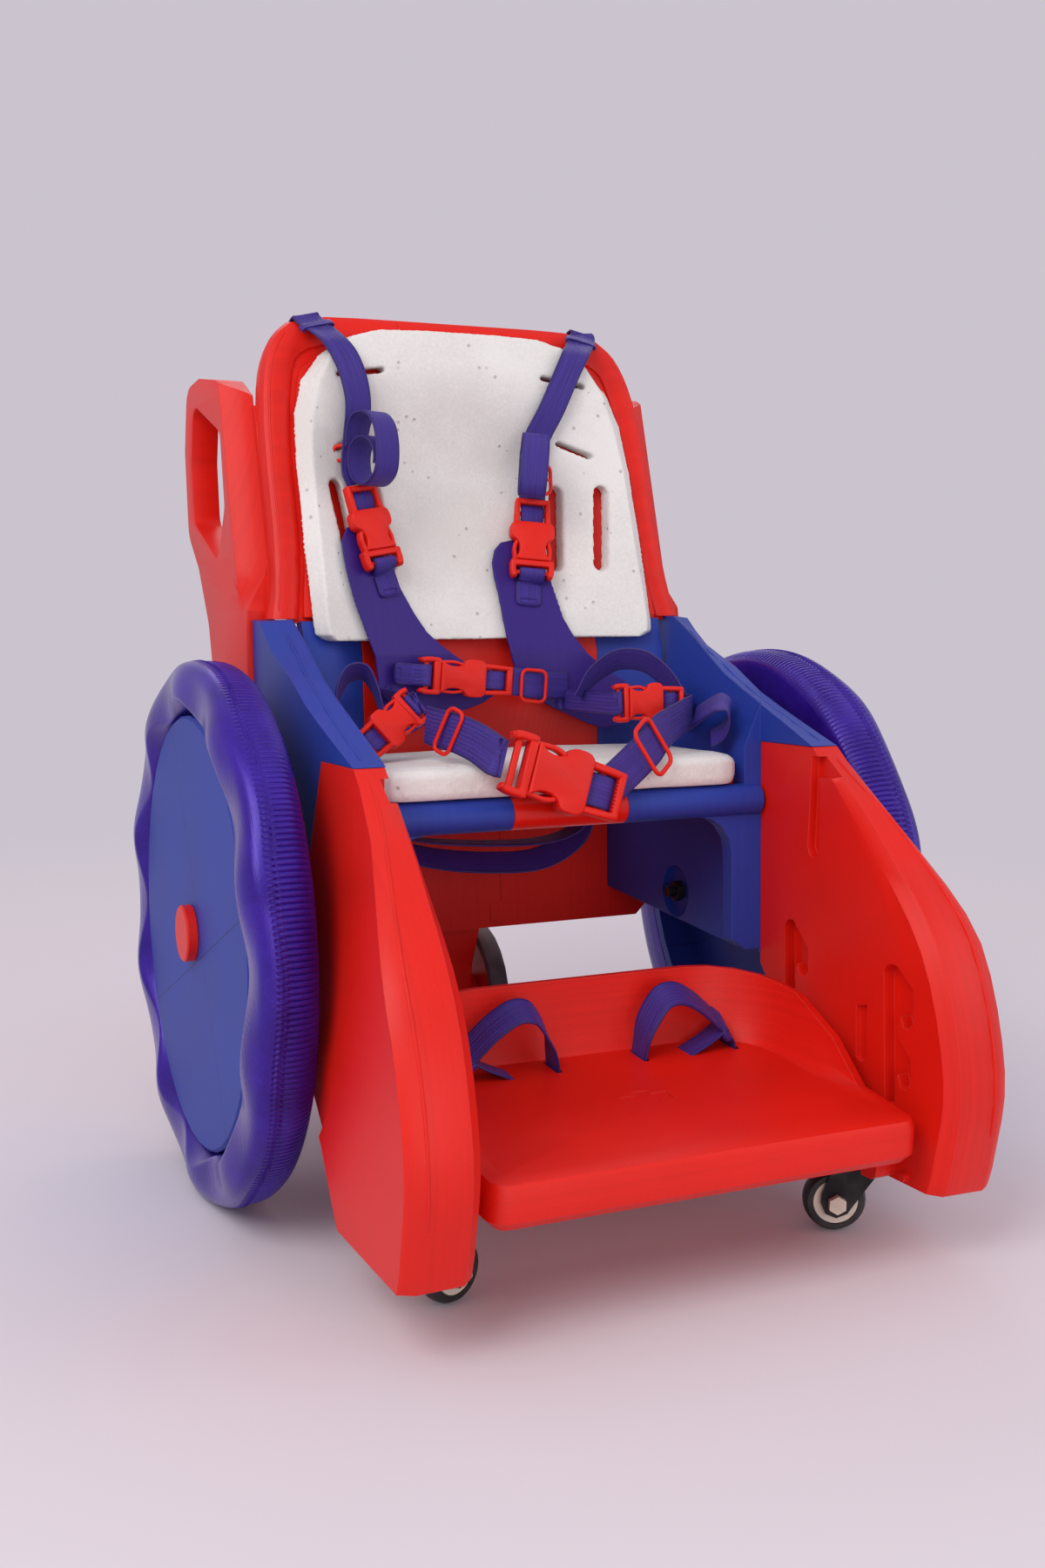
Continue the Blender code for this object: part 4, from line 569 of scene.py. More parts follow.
def tyre_section(wave):
    """Radius and distance out from the tyre's middle: wave is 1 on a lobe and 0 between two."""
    low = DISC_R + 0.0007
    corners = [
        (low, -0.0198), (low + 0.006, -0.0205), (WHEEL_R - 0.0215, -0.0205), (WHEEL_R - 0.0090, -0.0185),
        (WHEEL_R - 0.0022, -0.0120), (WHEEL_R, -0.0030), (WHEEL_R - 0.0006, 0.0090),
        (WHEEL_R - 0.0035 - 0.0025 * (1 - wave), 0.0160 + 0.0010 * wave),
        (WHEEL_R - 0.0125 - 0.0045 * (1 - wave), 0.0175 + 0.0045 * wave),
        (low + 0.0055 + 0.0080 * wave, 0.0168 + 0.0066 * wave),
        (low + 0.0015 + 0.0085 * wave, 0.0160 + 0.0062 * wave),
        (low + 0.0006 + 0.0050 * wave, 0.0145 + 0.0027 * wave), (low, 0.0100)]
    line = smooth_line([(r, a, 0) for r, a in corners[1:-1]], 4)
    zigzag = line[ZIGZAG_FROM:ZIGZAG_TO + 1]
    fine = [a.lerp(b, k / 3) for a, b in zip(zigzag, zigzag[1:]) for k in range(3)]
    line = line[:ZIGZAG_FROM] + fine + line[ZIGZAG_TO:]
    return [Vector((*corners[0], 0))] + line + [Vector((*corners[-1], 0))]


def ease(value):
    value = min(max(value, 0), 1)
    return value * value * (3 - 2 * value)


print("a section of", len(tyre_section(1)), "points")


# %% The grooves between the ribs
def rib_cut(angle, out):
    """How deep a groove lies at an angle round the wheel and a distance out."""
    turn = (angle / (2 * math.pi) * RIBS) % 1
    tooth = abs(2 * turn - 1)
    groove = 1 - math.sin(math.pi * turn) ** 0.7
    border = 0.0105 - 0.0075 * tooth + 0.0010 * math.cos(LOBES * angle)
    inner = ease((out + 0.0190) / 0.0040)
    return RIB_DEPTH * (0.45 + 0.55 * groove) * inner * (1 - ease((out - border) / 0.0014 + 0.5))


print("the ribs repeat every", round(2 * math.pi * WHEEL_R / RIBS * 1000, 2), "mm")

# %% [markdown]
# The lobes repeat, so only one of the ten is worked out. The tyre is swept round the axle from
# its sections, which keeps full control of where each groove lies, as an array modifier wouldn't.

# %% Both tyres
LOBE_STEPS = RIBS * RIB_STEPS // LOBES
LOBE_RINGS = []
for step in range(LOBE_STEPS):
    angle = 2 * math.pi * step / LOBE_STEPS / LOBES
    section = tyre_section((1 + math.cos(LOBES * angle)) / 2)
    LOBE_RINGS.append([(r - (rib_cut(angle, out) if r > WHEEL_R - TREAD_DEEP else 0), out)
                       for r, out, _ in section])


def make_tyre(word, side):
    rings = []
    for step in range(LOBE_STEPS * LOBES):
        angle = 2 * math.pi * step / (LOBE_STEPS * LOBES)
        y, z = math.sin(angle), math.cos(angle)
        rings.append([(side * (WHEEL_X + out), WHEEL_Y + y * r, AXLE_Z + z * r)
                      for r, out in LOBE_RINGS[step % LOBE_STEPS]])
    points, faces = skin(rings, loop=True)
    return add_piece(f"ribbed_tyre_{word}", points, faces, SILK, f"wheel_{word}", [f"wheel_tyre_{word}"],
                     "purple_rubber", angle=75)


for word, side in SIDES.items():
    print(make_tyre(word, side).name, "has", RIBS, "ribs")

# %% [markdown]
# ## The foam pads
# Both pads were cut from foam board, which leaves soft round edges and ragged slots. The packed
# pad already has the right outline, so it is copied, turned into an even skin with a voxel
# remesh, relaxed until its edges are soft, and roughened a little with noise. The noise is
# stronger inside the slots and along the cut edge than on the smooth face.

# %% The shape of the back
BACK_Y, LEAN_Z, LEAN = 0.064, 0.365, math.radians(16.6)
BACK_SAG, SAG_START_Z, SAG_END_Z, BACK_HALF = 0.0335, 0.490, 0.575, 0.130
PAD_T = 0.0145


def back_y(x, z):
    across = min(abs(x) / BACK_HALF, 1)
    sag = BACK_SAG * (1 - ease((z - SAG_START_Z) / (SAG_END_Z - SAG_START_Z)))
    return BACK_Y + max(z - LEAN_Z, 0) * math.tan(LEAN) + sag * (1 - across ** 2)


print("the hollow is", round((back_y(0, LEAN_Z) - back_y(BACK_HALF, LEAN_Z)) * 1000, 1), "mm deep")

# %% [markdown]
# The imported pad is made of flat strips. The difference between its strips and the true hollow is
# added back to every point, so that the soft pad is evenly round.

# %% From flat strips to the true hollow
LEVELS = [0.240, LEAN_Z, 0.430]
LEVELS += [SAG_START_Z + (SAG_END_Z - SAG_START_Z) * k / 5 for k in range(6)] + [0.640]
COLUMNS = [0.0, 0.022, 0.044, 0.066, 0.088, 0.109, BACK_HALF, 0.155]


def bracket(values, value):
    """The two neighbours of a value in a rising list, and its share of the way between them."""
    i = max(k for k in range(len(values) - 1) if k == 0 or values[k] <= value)
    return values[i], values[i + 1], min(max((value - values[i]) / (values[i + 1] - values[i]), 0), 1)


def from_strips(x, z):
    x0, x1, s = bracket(COLUMNS, abs(x))
    z0, z1, t = bracket(LEVELS, z)
    low = back_y(x0, z0) * (1 - s) + back_y(x1, z0) * s
    high = back_y(x0, z1) * (1 - s) + back_y(x1, z1) * s
    return back_y(x, z) - (low * (1 - t) + high * t)


print("the strips lie up to", round(max(abs(from_strips(x / 1000, LEAN_Z)) for x in range(130)) * 1000, 2),
      "mm off the hollow")

# %% [markdown]
# Foam and thin soft sheets need an even skin before they can be relaxed or bent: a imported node's
# long thin triangles would crease. The remesh gives that skin and the smoothing rounds its edges.

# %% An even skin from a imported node
WELD = 0.00002


def even_skin(name, node_name, voxel, relax):
    """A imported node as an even, relaxed skin, with its points back in the drawing."""
    mesh = NODES[node_name].data.copy()
    bm = bmesh.new()
    bm.from_mesh(mesh)
    bmesh.ops.remove_doubles(bm, verts=bm.verts, dist=WELD)
    bm.to_mesh(mesh)
    bm.free()
    made = bpy.data.objects.new(name, mesh)
    bpy.context.scene.collection.objects.link(made)
    even = made.modifiers.new("even", "REMESH")
    even.mode, even.voxel_size = "VOXEL", voxel
    soft = made.modifiers.new("soft", "SMOOTH")
    soft.factor, soft.iterations = 0.5, relax
    graph = bpy.context.evaluated_depsgraph_get()
    made.data = bpy.data.meshes.new_from_object(made.evaluated_get(graph))
    made.modifiers.clear()
    for attribute in [a for a in made.data.attributes if a.name == "custom_normal"]:
        made.data.attributes.remove(attribute)
    made.data.transform(TO_FLOOR.inverted())
    return made


def settle(made, finish, node_name):
    """Gives a remade piece its finish and puts it in its node's place on the frame."""
    made.data.materials.clear()
    made.data.materials.append(finish)
    made.data.shade_smooth()
    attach(made, "frame")
    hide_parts(node_name)


print("points nearer than", WELD * 1000, "mm are joined")

# %% [markdown]
# The cut leaves the foam's broad faces smooth and its edges and slots rough. How far a point's
# normal turns away from the broad face says which of the two it is.

# %% Soft foam from a packed pad
SEAT_RAIL_EDGE_Y, SEAT_PAD_LOW_Z = -0.0445, 0.2805
RAIL_DROP = 0.0047


def foam_piece(name, node_name, voxel, cut_way, moved):
    """A foam pad: cut_way is the direction of its cut, and moved says how a point shifts."""
    made = even_skin(name, node_name, voxel, 6)
    mesh = made.data
    for vertex in mesh.vertices:
        vertex.co += Vector(moved(vertex.co))
    mesh.transform(TO_FLOOR)
    face_way = TO_FLOOR.to_3x3() @ cut_way
    for vertex, normal in [(v, v.normal.copy()) for v in mesh.vertices]:
        side_wall = 1 - ease((abs(normal.dot(face_way)) - 0.35) / 0.45)
        rough = noise.noise(vertex.co * 420) + 0.6 * noise.noise(vertex.co * 1100)
        lump = noise.noise(vertex.co * 38)
        vertex.co += normal * (0.00022 * rough * (0.12 + side_wall * 1.5) + 0.00035 * lump)
    settle(made, FOAM, node_name)
    return made


def onto_hollow(point):
    return 0, from_strips(point.x, point.z), 0


def onto_rail(point):
    """The seat pad's front edge sinks over the rail, which is lower than the pan behind it."""
    front = ease((SEAT_RAIL_EDGE_Y - point.y) / 0.004)
    low = 1 - ease((point.z - SEAT_PAD_LOW_Z) / 0.009)
    return 0, 0, -RAIL_DROP * front * low


BACK_FOAM = foam_piece("soft_back_pad", "back_pad", 0.00125, Vector((0, 1, 0.2)).normalized(), onto_hollow)
SEAT_FOAM = foam_piece("soft_seat_pad", "seat_pad", 0.0014, Vector((0, 0, 1)), onto_rail)
print("back pad of", len(BACK_FOAM.data.polygons), "faces, seat pad of", len(SEAT_FOAM.data.polygons))

# %% [markdown]
# ## The vest
# Two smooth purple sheets lie on the child's front. They are printed flat in a soft plastic and
# hang off the shoulder buckles. Each is a leaf with round ends whose skin follows the hollow of
# the back, so the same formula that shaped the back gives its depth.

# %% The two vest panels
VEST_LIFT = 0.0040
VEST_T = 0.0026


def make_vest(word):
    """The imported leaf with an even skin, laid smoothly on the hollow of the back."""
    node_name = f"vest_panel_{word}"
    made = even_skin(f"soft_vest_{word}", node_name, 0.0009, 4)
    mesh = made.data
    near = PAD_T + VEST_LIFT
    facing = [abs(vertex.normal.y) for vertex in mesh.vertices]
    for vertex, flat in zip(mesh.vertices, facing):
        x, y, z = vertex.co
        depth = min(max((back_y(x, z) - y - near) / VEST_T, 0), 1)
        round_rim = 0.5 + (depth - 0.5) * (0.5 + 0.5 * min(1, flat * 1.6))
        vertex.co.y = back_y(x, z) - near - VEST_T * round_rim
    mesh.transform(TO_FLOOR)
    settle(made, SMOOTH_PURPLE, node_name)
    return made


for word in SIDES:
    print(make_vest(word).name, "laid on the back")

# %% [markdown]
# ## Webbing
# A strap is a flat band with round edges, swept along a smooth line. At each step it keeps its
# width square to the way it runs. It also notes its own measure in the `run` attribute, which the
# woven finish reads: metres across, metres along, and how near a point is to the edge.

# %% One strap
WEB_T = 0.0016
WEB_W = 0.020
LAP_WEB_W = 0.025
STRAP_EDGE = [(0.25, 0.5), (0.46, 0.5), (0.488, 0.38), (0.5, 0), (0.488, -0.38), (0.46, -0.5), (0.25, -0.5)]
STRAP_SECTION = [(-0.5, 0), (-0.488, 0.38), (-0.46, 0.5), (-0.25, 0.5), (0, 0.5)] + STRAP_EDGE
STRAP_SECTION += [(0, -0.5), (-0.25, -0.5), (-0.46, -0.5), (-0.488, -0.38)]


def strap(name, path, across, width, body, nodes=(), thick=WEB_T, steps=6, round_end=0.0):
    """Webbing along a path: across is the way of its width, one for all or one for each point."""
    if isinstance(across, Vector):
        across = [across] * len(path)
    line, sides = smooth_line(path, steps), smooth_line(across, steps)
    rings, run, length = [], [], 0.0
    whole = sum((b - a).length for a, b in zip(line, line[1:]))
    for i, here in enumerate(line):
        ahead = ahead_at(line, i)
        wide = (sides[i] - ahead * sides[i].dot(ahead)).normalized()
        up = ahead.cross(wide)
        if i:
            length += (here - line[i - 1]).length
        left = whole - length
        inset = 0
        if left < round_end:
            inset = round_end - math.sqrt(max(round_end ** 2 - (round_end - left) ** 2, 0))
        rings.append([here + wide * (u * (width - 2 * inset)) + up * (v * thick) for u, v in STRAP_SECTION])
        run += [(u * width, length, abs(2 * u)) for u, v in STRAP_SECTION]
    points, faces = skin(rings)
    made = add_piece(name, points, faces, WEBBING, body, nodes, "purple_webbing", angle=60, run=run)
    made["length"] = length
    return made


print("webbing is", WEB_T * 1000, "mm thick and", WEB_W * 1000, "or", LAP_WEB_W * 1000, "mm wide")


# %% [markdown]
# The shoulder straps come up from the top buckles, lean on the pad and wrap over the red bar. The
# bar's own cross-section gives the wrap, so the strap lies on it all the way round.

# %% The shoulder straps
SHOULDER_PATH = {
    "left": [(0.0481, 0.0989, 0.4768), (0.0488, 0.1002, 0.4815), (0.0495, 0.1015, 0.4863),
             (0.0545, 0.1084, 0.5160), (0.0670, 0.1027, 0.5440), (0.0800, 0.1042, 0.5700),
             (0.0905, 0.1103, 0.5860)],
    "right": [(-0.0896, 0.0898, 0.4835), (-0.0908, 0.0908, 0.4882), (-0.0919, 0.0919, 0.4930),
              (-0.0870, 0.1013, 0.5160), (-0.0850, 0.0991, 0.5420), (-0.0900, 0.1004, 0.5660),
              (-0.0985, 0.1095, 0.5850)],
}
BAR_WRAP = [(0.1083, 0.1349, 0.6018), (0.1098, 0.1401, 0.6062), (0.1100, 0.1498, 0.6041),
            (0.1098, 0.1590, 0.6005), (0.1082, 0.1605, 0.5935), (0.1050, 0.1569, 0.5817)]
WRAP_WIDE = {"left": (0.9687, -0.0709, -0.2379), "right": (0.9687, 0.0709, 0.2379)}
SHOULDER_WIDE = {
    "left": [(0.9708, -0.1995, -0.1335)] * 3
    + [(0.9862, -0.1655, 0), (0.9968, -0.08, 0), (1, -0.0032, 0), (1, 0, 0)],
    "right": [(0.9068, 0.3516, 0.2327)] * 3
    + [(0.966, 0.2587, 0), (0.9937, 0.1122, 0), (0.9999, 0.0112, 0), (1, 0, 0)],
}
for word, side in SIDES.items():
    path = SHOULDER_PATH[word] + [(side * x, y, z) for x, y, z in BAR_WRAP]
    wide = [Vector(v) for v in SHOULDER_WIDE[word] + [WRAP_WIDE[word]] * len(BAR_WRAP)]
    made = strap(f"shoulder_webbing_{word}", path, wide, WEB_W, "frame", [f"shoulder_strap_{word}"])
    print(made.name, round(made["length"], 3), "m")

# %% [markdown]
# The chest strap runs to its slider on the left panel. The lap straps run back over the thighs,
# the left one in a long arc to the side wall, and the foot straps arch over the footplate.

# %% Chest, lap and foot straps
CHEST_WIDE = Vector((0.0896, 0.0408, 0.9951))
UP = Vector((0, 0, 1))
FOOT_WIDE = Vector((0, 0.9950, 0.0995))
ARCH_WIDE = Vector((0, 0.78, 0.62))
CHEST_PATH = [(0.0135, 0.0600, 0.3445), (0.0175, 0.0600, 0.3441), (0.0215, 0.0600, 0.3438),
              (0.0300, 0.0600, 0.3415), (0.0450, 0.0635, 0.3410), (0.0600, 0.0676, 0.3405)]
LAP_RIGHT = [(-0.0539, -0.0799, 0.3016), (-0.0568, -0.0799, 0.3026), (-0.0596, -0.0798, 0.3036),
             (-0.0660, -0.0660, 0.3110), (-0.0730, -0.0480, 0.3165), (-0.0790, -0.0290, 0.3190),
             (-0.0820, -0.0170, 0.3210)]
LAP_RIGHT_WIDE = [(0.3370, 0.1521, 0.9291)] * 3 + [(0.2414, 0.0966, 0.9656), (0.1952, 0.0976, 0.9759),
                                                   (0.0990, 0.0990, 0.9901), (0, 0, 1)]
LAP_LEFT = [(0.0160, -0.0751, 0.2754), (0.0225, -0.0742, 0.2801), (0.0289, -0.0732, 0.2848),
            (0.0530, -0.0700, 0.3030), (0.0680, -0.0600, 0.3125), (0.0860, -0.0450, 0.3175),
            (0.1020, -0.0300, 0.3205), (0.1160, -0.0140, 0.3215), (0.1275, 0.0030, 0.3215),
            (0.1335, 0.0190, 0.3215), (0.1344, 0.0340, 0.3215)]
LAP_LEFT_WIDE = [(-0.5982, 0.1007, 0.7950)] * 3 + [(-0.3968, 0.0992, 0.9125), (-0.2996, 0.0999, 0.9488)]
LAP_LEFT_WIDE += [(0, 0, 1)] * 6
strap("chest_webbing", CHEST_PATH, CHEST_WIDE, WEB_W, "frame", ["chest_strap"])
for word, path, wide in (("right", LAP_RIGHT, LAP_RIGHT_WIDE), ("left", LAP_LEFT, LAP_LEFT_WIDE)):
    strap(f"lap_webbing_{word}", path, [Vector(v) for v in wide], LAP_WEB_W, "frame", [f"lap_strap_{word}"])
FOOT_ARCH = [(0.0310, -0.0957, 0.0851), (0.0310, -0.0967, 0.0970), (0.0310, -0.0978, 0.1090),
             (0.0350, -0.0993, 0.1269), (0.0450, -0.1007, 0.1429), (0.0570, -0.1010, 0.1459),
             (0.0710, -0.1004, 0.1389), (0.0840, -0.0994, 0.1279), (0.0950, -0.0985, 0.1170),
             (0.0980, -0.0969, 0.0990), (0.0980, -0.0957, 0.0851)]
FOOT_ARCH_WIDE = [FOOT_WIDE] * 3 + [ARCH_WIDE] * 6 + [FOOT_WIDE] * 2
for word, side in SIDES.items():
    path = [(side * x, y, z) for x, y, z in FOOT_ARCH]
    made = strap(f"foot_webbing_{word}", path, FOOT_ARCH_WIDE, WEB_W, "foot_tray", [f"foot_strap_{word}"])
print("a foot strap is", round(made["length"], 3), "m long")

# %% [markdown]
# ## Side-release buckles
# All the buckles are the same printed model in four sizes. The outer half has a ladder frame,
# whose toothed bar grips the webbing, and a body with broad shoulders and a waist. The inner half
# has two prongs that show in the body's side openings, two thick legs and a round bar for a tab.
# A buckle has its own directions: u towards the inner half's end, v across and w outward, in
# millimetres from the joint between its halves.

# %% A buckle's own directions
def buckle_place(centre, along, out, sizes=(1, 1, 1), shift=0.0):
    """Directions of a buckle on the drawing: sizes stretch it along, across and outward."""
    centre, along, out = Vector(centre), Vector(along).normalized(), Vector(out)
    out = (out - along * out.dot(along)).normalized()
    return centre + along * shift, along * sizes[0], out.cross(along) * sizes[1], out * sizes[2]


def in_buckle(place, u, v, w):
    centre, along, across, out = place
    return centre + (along * u + across * v + out * w) / 1000


def gather(parts):
    points, faces = [], []
    for some_points, some_faces in parts:
        start = len(points)
        points += some_points
        faces += [tuple(start + i for i in face) for face in some_faces]
    return points, faces


print("a buckle counts in millimetres")


# %% Plates with round rims
def widened(outline, amount):
    """The closed outline, in flat (u, v), with its edge moved out by an amount."""
    moved = []
    for i, here in enumerate(outline):
        before, after = outline[i - 1], outline[(i + 1) % len(outline)]
        du, dv = after[0] - before[0], after[1] - before[1]
        length = math.hypot(du, dv) or 1
        moved.append((here[0] + dv / length * amount, here[1] - du / length * amount))
    return moved


def slab(place, outline, low, high, soft=0.8):
    """A plate between two heights whose rims are round."""
    area = sum(a[0] * b[1] - b[0] * a[1] for a, b in zip(outline, outline[1:] + outline[:1]))
    way = 1 if area > 0 else -1
    steps = [(low, -soft), (low + soft * 0.3, -soft * 0.3), (low + soft, 0), (high - soft, 0),
             (high - soft * 0.3, -soft * 0.3), (high, -soft)]
    return skin([[in_buckle(place, u, v, w) for u, v in widened(outline, inset * way)]
                 for w, inset in steps])


print("a plate's rim is rounded in 6 steps")

# %% Bars with round corners
SQUARE = 0.55


def rod(place, path, wide, tall, round_ends=True):
    """A bar with a round-cornered section through points (u, v, w)."""
    line = [Vector(p) for p in path]
    section = [(math.cos(a), math.sin(a)) for a in [math.pi * (k + 0.5) / 6 for k in range(12)]]
    section = [(math.copysign(abs(c) ** SQUARE, c), math.copysign(abs(s) ** SQUARE, s)) for c, s in section]
    sizes = [1.0] * len(line)
    if round_ends:
        first, last = (line[1] - line[0]).normalized(), (line[-1] - line[-2]).normalized()
        soft = min(wide, tall) * 0.28
        line = ([line[0], line[0] + first * soft * 0.4, line[0] + first * soft] + line[1:-1]
                + [line[-1] - last * soft, line[-1] - last * soft * 0.4, line[-1]])
        sizes = [0.55, 0.86] + [1.0] * (len(line) - 4) + [0.86, 0.55]
    rings = []
    for i, (here, size) in enumerate(zip(line, sizes)):
        ahead = ahead_at(line, i)
        up = Vector((0, 0, 1)) if abs(ahead.z) < 0.9 else Vector((1, 0, 0))
        side = ahead.cross(up).normalized()
        up = side.cross(ahead)
        ring = [here + side * (c * wide / 2 * size) + up * (s * tall / 2 * size) for c, s in section]
        rings.append([in_buckle(place, *p) for p in ring])
    return skin(rings)


print("a bar's section has 12 points")

# %% [markdown]
# The body's outline is half of the real one, mirrored. The ladder teeth are small wedges on the
# frame's end bar, and the webbing that crosses the frame's window is a short strap of its own.

# %% The two halves
BODY_EDGE = [(-29.0, 0.0), (-29.0, 6.0), (-29.0, 12.0), (-28.2, 14.2), (-26.4, 15.9), (-24.0, 16.5),
             (-20.0, 16.5), (-17.6, 16.0), (-16.0, 14.6), (-15.2, 12.6), (-13.6, 10.9), (-11.0, 9.9),
             (-8.0, 9.6), (-5.0, 10.2), (-3.0, 11.4), (-1.6, 12.6), (0.0, 13.0), (0.0, 6.0), (0.0, 0.0)]
PLATE_EDGE = [(0.4, -15.6), (3.2, -16.4), (4.6, -15.0), (4.6, 15.0), (3.2, 16.4), (0.4, 15.6)]
TEETH = 9


def outer_half(place):
    edge = BODY_EDGE + [(u, -v) for u, v in BODY_EDGE[-2:0:-1]]
    parts = [slab(place, edge, -4.4, 4.4, 1.0)]
    for side in (1, -1):
        rail = [(-47, side * 10.6, 0.2), (-40, side * 11.2, 0.2), (-27, side * 11.8, 0)]
        parts.append(rod(place, rail, 4.0, 7.4))
    parts.append(rod(place, [(-45, -11.8, 0.6), (-45, 0, 0.6), (-45, 11.8, 0.6)], 3.8, 6.4))
    parts.append(rod(place, [(-36.5, -11, -2.2), (-36.5, 11, -2.2)], 3.2, 3.2))
    for tooth in range(TEETH):
        v = -7.6 + 1.9 * tooth
        wedge = [(-43.8, v - 0.8), (-42.2, v), (-43.8, v + 0.8)]
        parts.append(slab(place, wedge, 0.2, 3.2, 0.15))
    return gather(parts)


def inner_half(place):
    parts = [slab(place, PLATE_EDGE, -3.7, 3.7)]
    for side in (1, -1):
        prong = ((1.5, 12.6), (-3.5, 13.0), (-8.0, 13.3), (-12.0, 12.4), (-14.4, 11.0))
        leg = ((0.6, 14.0), (6.0, 14.3), (10.0, 14.0), (13.5, 12.6))
        for line, wide, tall in ((prong, 2.8, 6.4), (leg, 4.4, 8.0)):
            parts.append(rod(place, smooth_line([(u, side * v, 0) for u, v in line], 3), wide, tall))
    parts.append(rod(place, [(9.2, -13.6, 0), (9.2, 13.6, 0)], 3.2, 3.2))
    parts.append(rod(place, [(-12, 0, 0), (1.5, 0, 0)], 9.0, 3.0))
    return gather(parts)


WINDOW_HALF, TAB_HALF = 8.6, 9.6
WINDOW_RUN = ((-47, -2.6), (-43.5, -1.6), (-40, 0.6), (-36.5, 1.0), (-32.5, 0.2), (-28.6, -1.4))


def window_band(name, place, body):
    """The webbing that shows in a ladder frame's window."""
    path = [in_buckle(place, u, 0, w) for u, w in WINDOW_RUN]
    across = place[2].normalized()
    return strap(name, path, across, 2 * WINDOW_HALF * place[2].length / 1000, body, steps=4)


print("the ladder bar has", TEETH, "teeth")

# %% [markdown]
# The rings that the webbing threads through are printed too: a round rod bent to a rectangle.

# %% A ring
def ring_slider(name, place, length, width, body, rod_size=3.0, nodes=(), bar=False, corner=4.5,
                finish=BUCKLE_RED, slot="red_plastic"):
    """A round rod bent to a rectangle, in millimetres, with a middle bar if it has one."""
    u, v = length / 2 - rod_size / 2, width / 2 - rod_size / 2
    path = []
    for quarter, (su, sv) in enumerate(((1, 1), (-1, 1), (-1, -1), (1, -1))):
        for step in range(6):
            angle = math.radians(90 * quarter + 18 * step)
            path.append((su * (u - corner) + corner * math.cos(angle),
                         sv * (v - corner) + corner * math.sin(angle)))
    rings = []
    for i, (pu, pv) in enumerate(path):
        du = path[(i + 1) % len(path)][0] - path[i - 1][0]
        dv = path[(i + 1) % len(path)][1] - path[i - 1][1]
        size = math.hypot(du, dv)
        nu, nv = dv / size, -du / size
        ring = []
        for k in range(10):
            angle = 2 * math.pi * k / 10
            c, s = math.cos(angle) * rod_size / 2, math.sin(angle) * rod_size / 2 * 0.9
            ring.append(in_buckle(place, pu + nu * c, pv + nv * c, s))
        rings.append(ring)
    parts = [skin(rings, loop=True)]
    if bar:
        parts.append(rod(place, [(0, -v, -0.3), (0, v, -0.3)], rod_size * 0.9, rod_size * 0.8, False))
    points, faces = gather(parts)
    return add_piece(name, points, faces, finish, body, nodes, slot, angle=60)


print("a ring has 6 steps in each corner")

# %% [markdown]
# The six buckles sit where the photograph has them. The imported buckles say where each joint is,
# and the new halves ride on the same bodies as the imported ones, so they slide apart as they do.

# %% Every buckle in its place
SHOULDER = {
    "left": ((0.0415, 0.0864, 0.4310), (-0.1375, -0.2621, -0.9552), (-0.1557, -0.9466, 0.2822)),
    "right": ((-0.0785, 0.0796, 0.4380), (0.2318, -0.2109, -0.9496), (0.2858, -0.9183, 0.2738)),
}
CHEST = ((-0.0090, 0.0600, 0.3465), (0.9960, 0, -0.0896), (0.0037, -0.9992, 0.0406))
LAP = ((-0.0035, -0.0810, 0.2835), (0.9409, -0.0200, -0.3380), (0.0328, -0.9882, 0.1499))
HIP = {
    "left": ((0.0850, -0.0090, 0.3300), (-0.9677, 0.2520, 0), (-0.2502, -0.9607, 0.1201)),
    "right": ((-0.1030, -0.0100, 0.3215), (0.7992, 0.2198, 0.5594), (0.0112, -0.9360, 0.3517)),
}


def backwards(direction):
    return tuple(-c for c in direction)


PLACES = {f"shoulder_{word}": buckle_place(*SHOULDER[word]) for word in SIDES}
PLACES["chest"] = buckle_place(CHEST[0], backwards(CHEST[1]), CHEST[2], (1.17, 0.80, 0.95), 0.0332)
PLACES["lap"] = buckle_place(LAP[0], backwards(LAP[1]), LAP[2], (1.40, 1.27, 1.22), 0.0341)
for word in SIDES:
    PLACES[f"hip_{word}"] = buckle_place(*HIP[word], (0.83, 0.82, 0.95), 0.0128)

BUCKLES = [
    ("shoulder_left", "frame", ["shoulder_socket_left"], "shoulder_clip_left", ["shoulder_plug_left"]),
    ("shoulder_right", "frame", ["shoulder_socket_right"], "shoulder_clip_right", ["shoulder_plug_right"]),
    ("chest", "frame", ["chest_plug"], "chest_clip", ["chest_socket"]),
    ("lap", "lap_clip", ["lap_plug"], "frame", ["lap_socket"]),
    ("hip_left", "frame", ["hip_buckle_left"], "frame", []),
    ("hip_right", "frame", ["hip_buckle_right"], "frame", []),
]
for name, outer_body, outer_nodes, inner_body, inner_nodes in BUCKLES:
    place = PLACES[name]
    for half, shape, body, nodes in (("body", outer_half(place), outer_body, outer_nodes),
                                     ("prongs", inner_half(place), inner_body, inner_nodes)):
        add_piece(f"{name}_buckle_{half}", *shape, BUCKLE_RED, body, nodes, "red_plastic", 45)
    window_band(f"{name}_window_webbing", place, outer_body)
print(len(BUCKLES), "buckles")

# %% [markdown]
# ## Tabs, loops and rolls
# A short tab of the same webbing goes round each inner half's bar and is welded to the vest,
# with a pressed rectangle near its round end. The spare webbing is rolled up above the shoulder
# buckles and hangs in loops by the hips.

# %% Welded tabs
def vest_point(x, z, lift=0.0):
    return Vector((x, back_y(x, z) - PAD_T - VEST_LIFT - VEST_T - lift, z))


def on_vest(place, u, v, lift):
    here = in_buckle(place, u, v, 0)
    return vest_point(here.x, here.z, lift)


TAB_BEND = ((6.9, -1.4), (6.6, 1.0), (7.6, 2.9), (9.6, 3.2), (12.0, 1.8), (14.2, -1.0))
TAB_START = 17.0


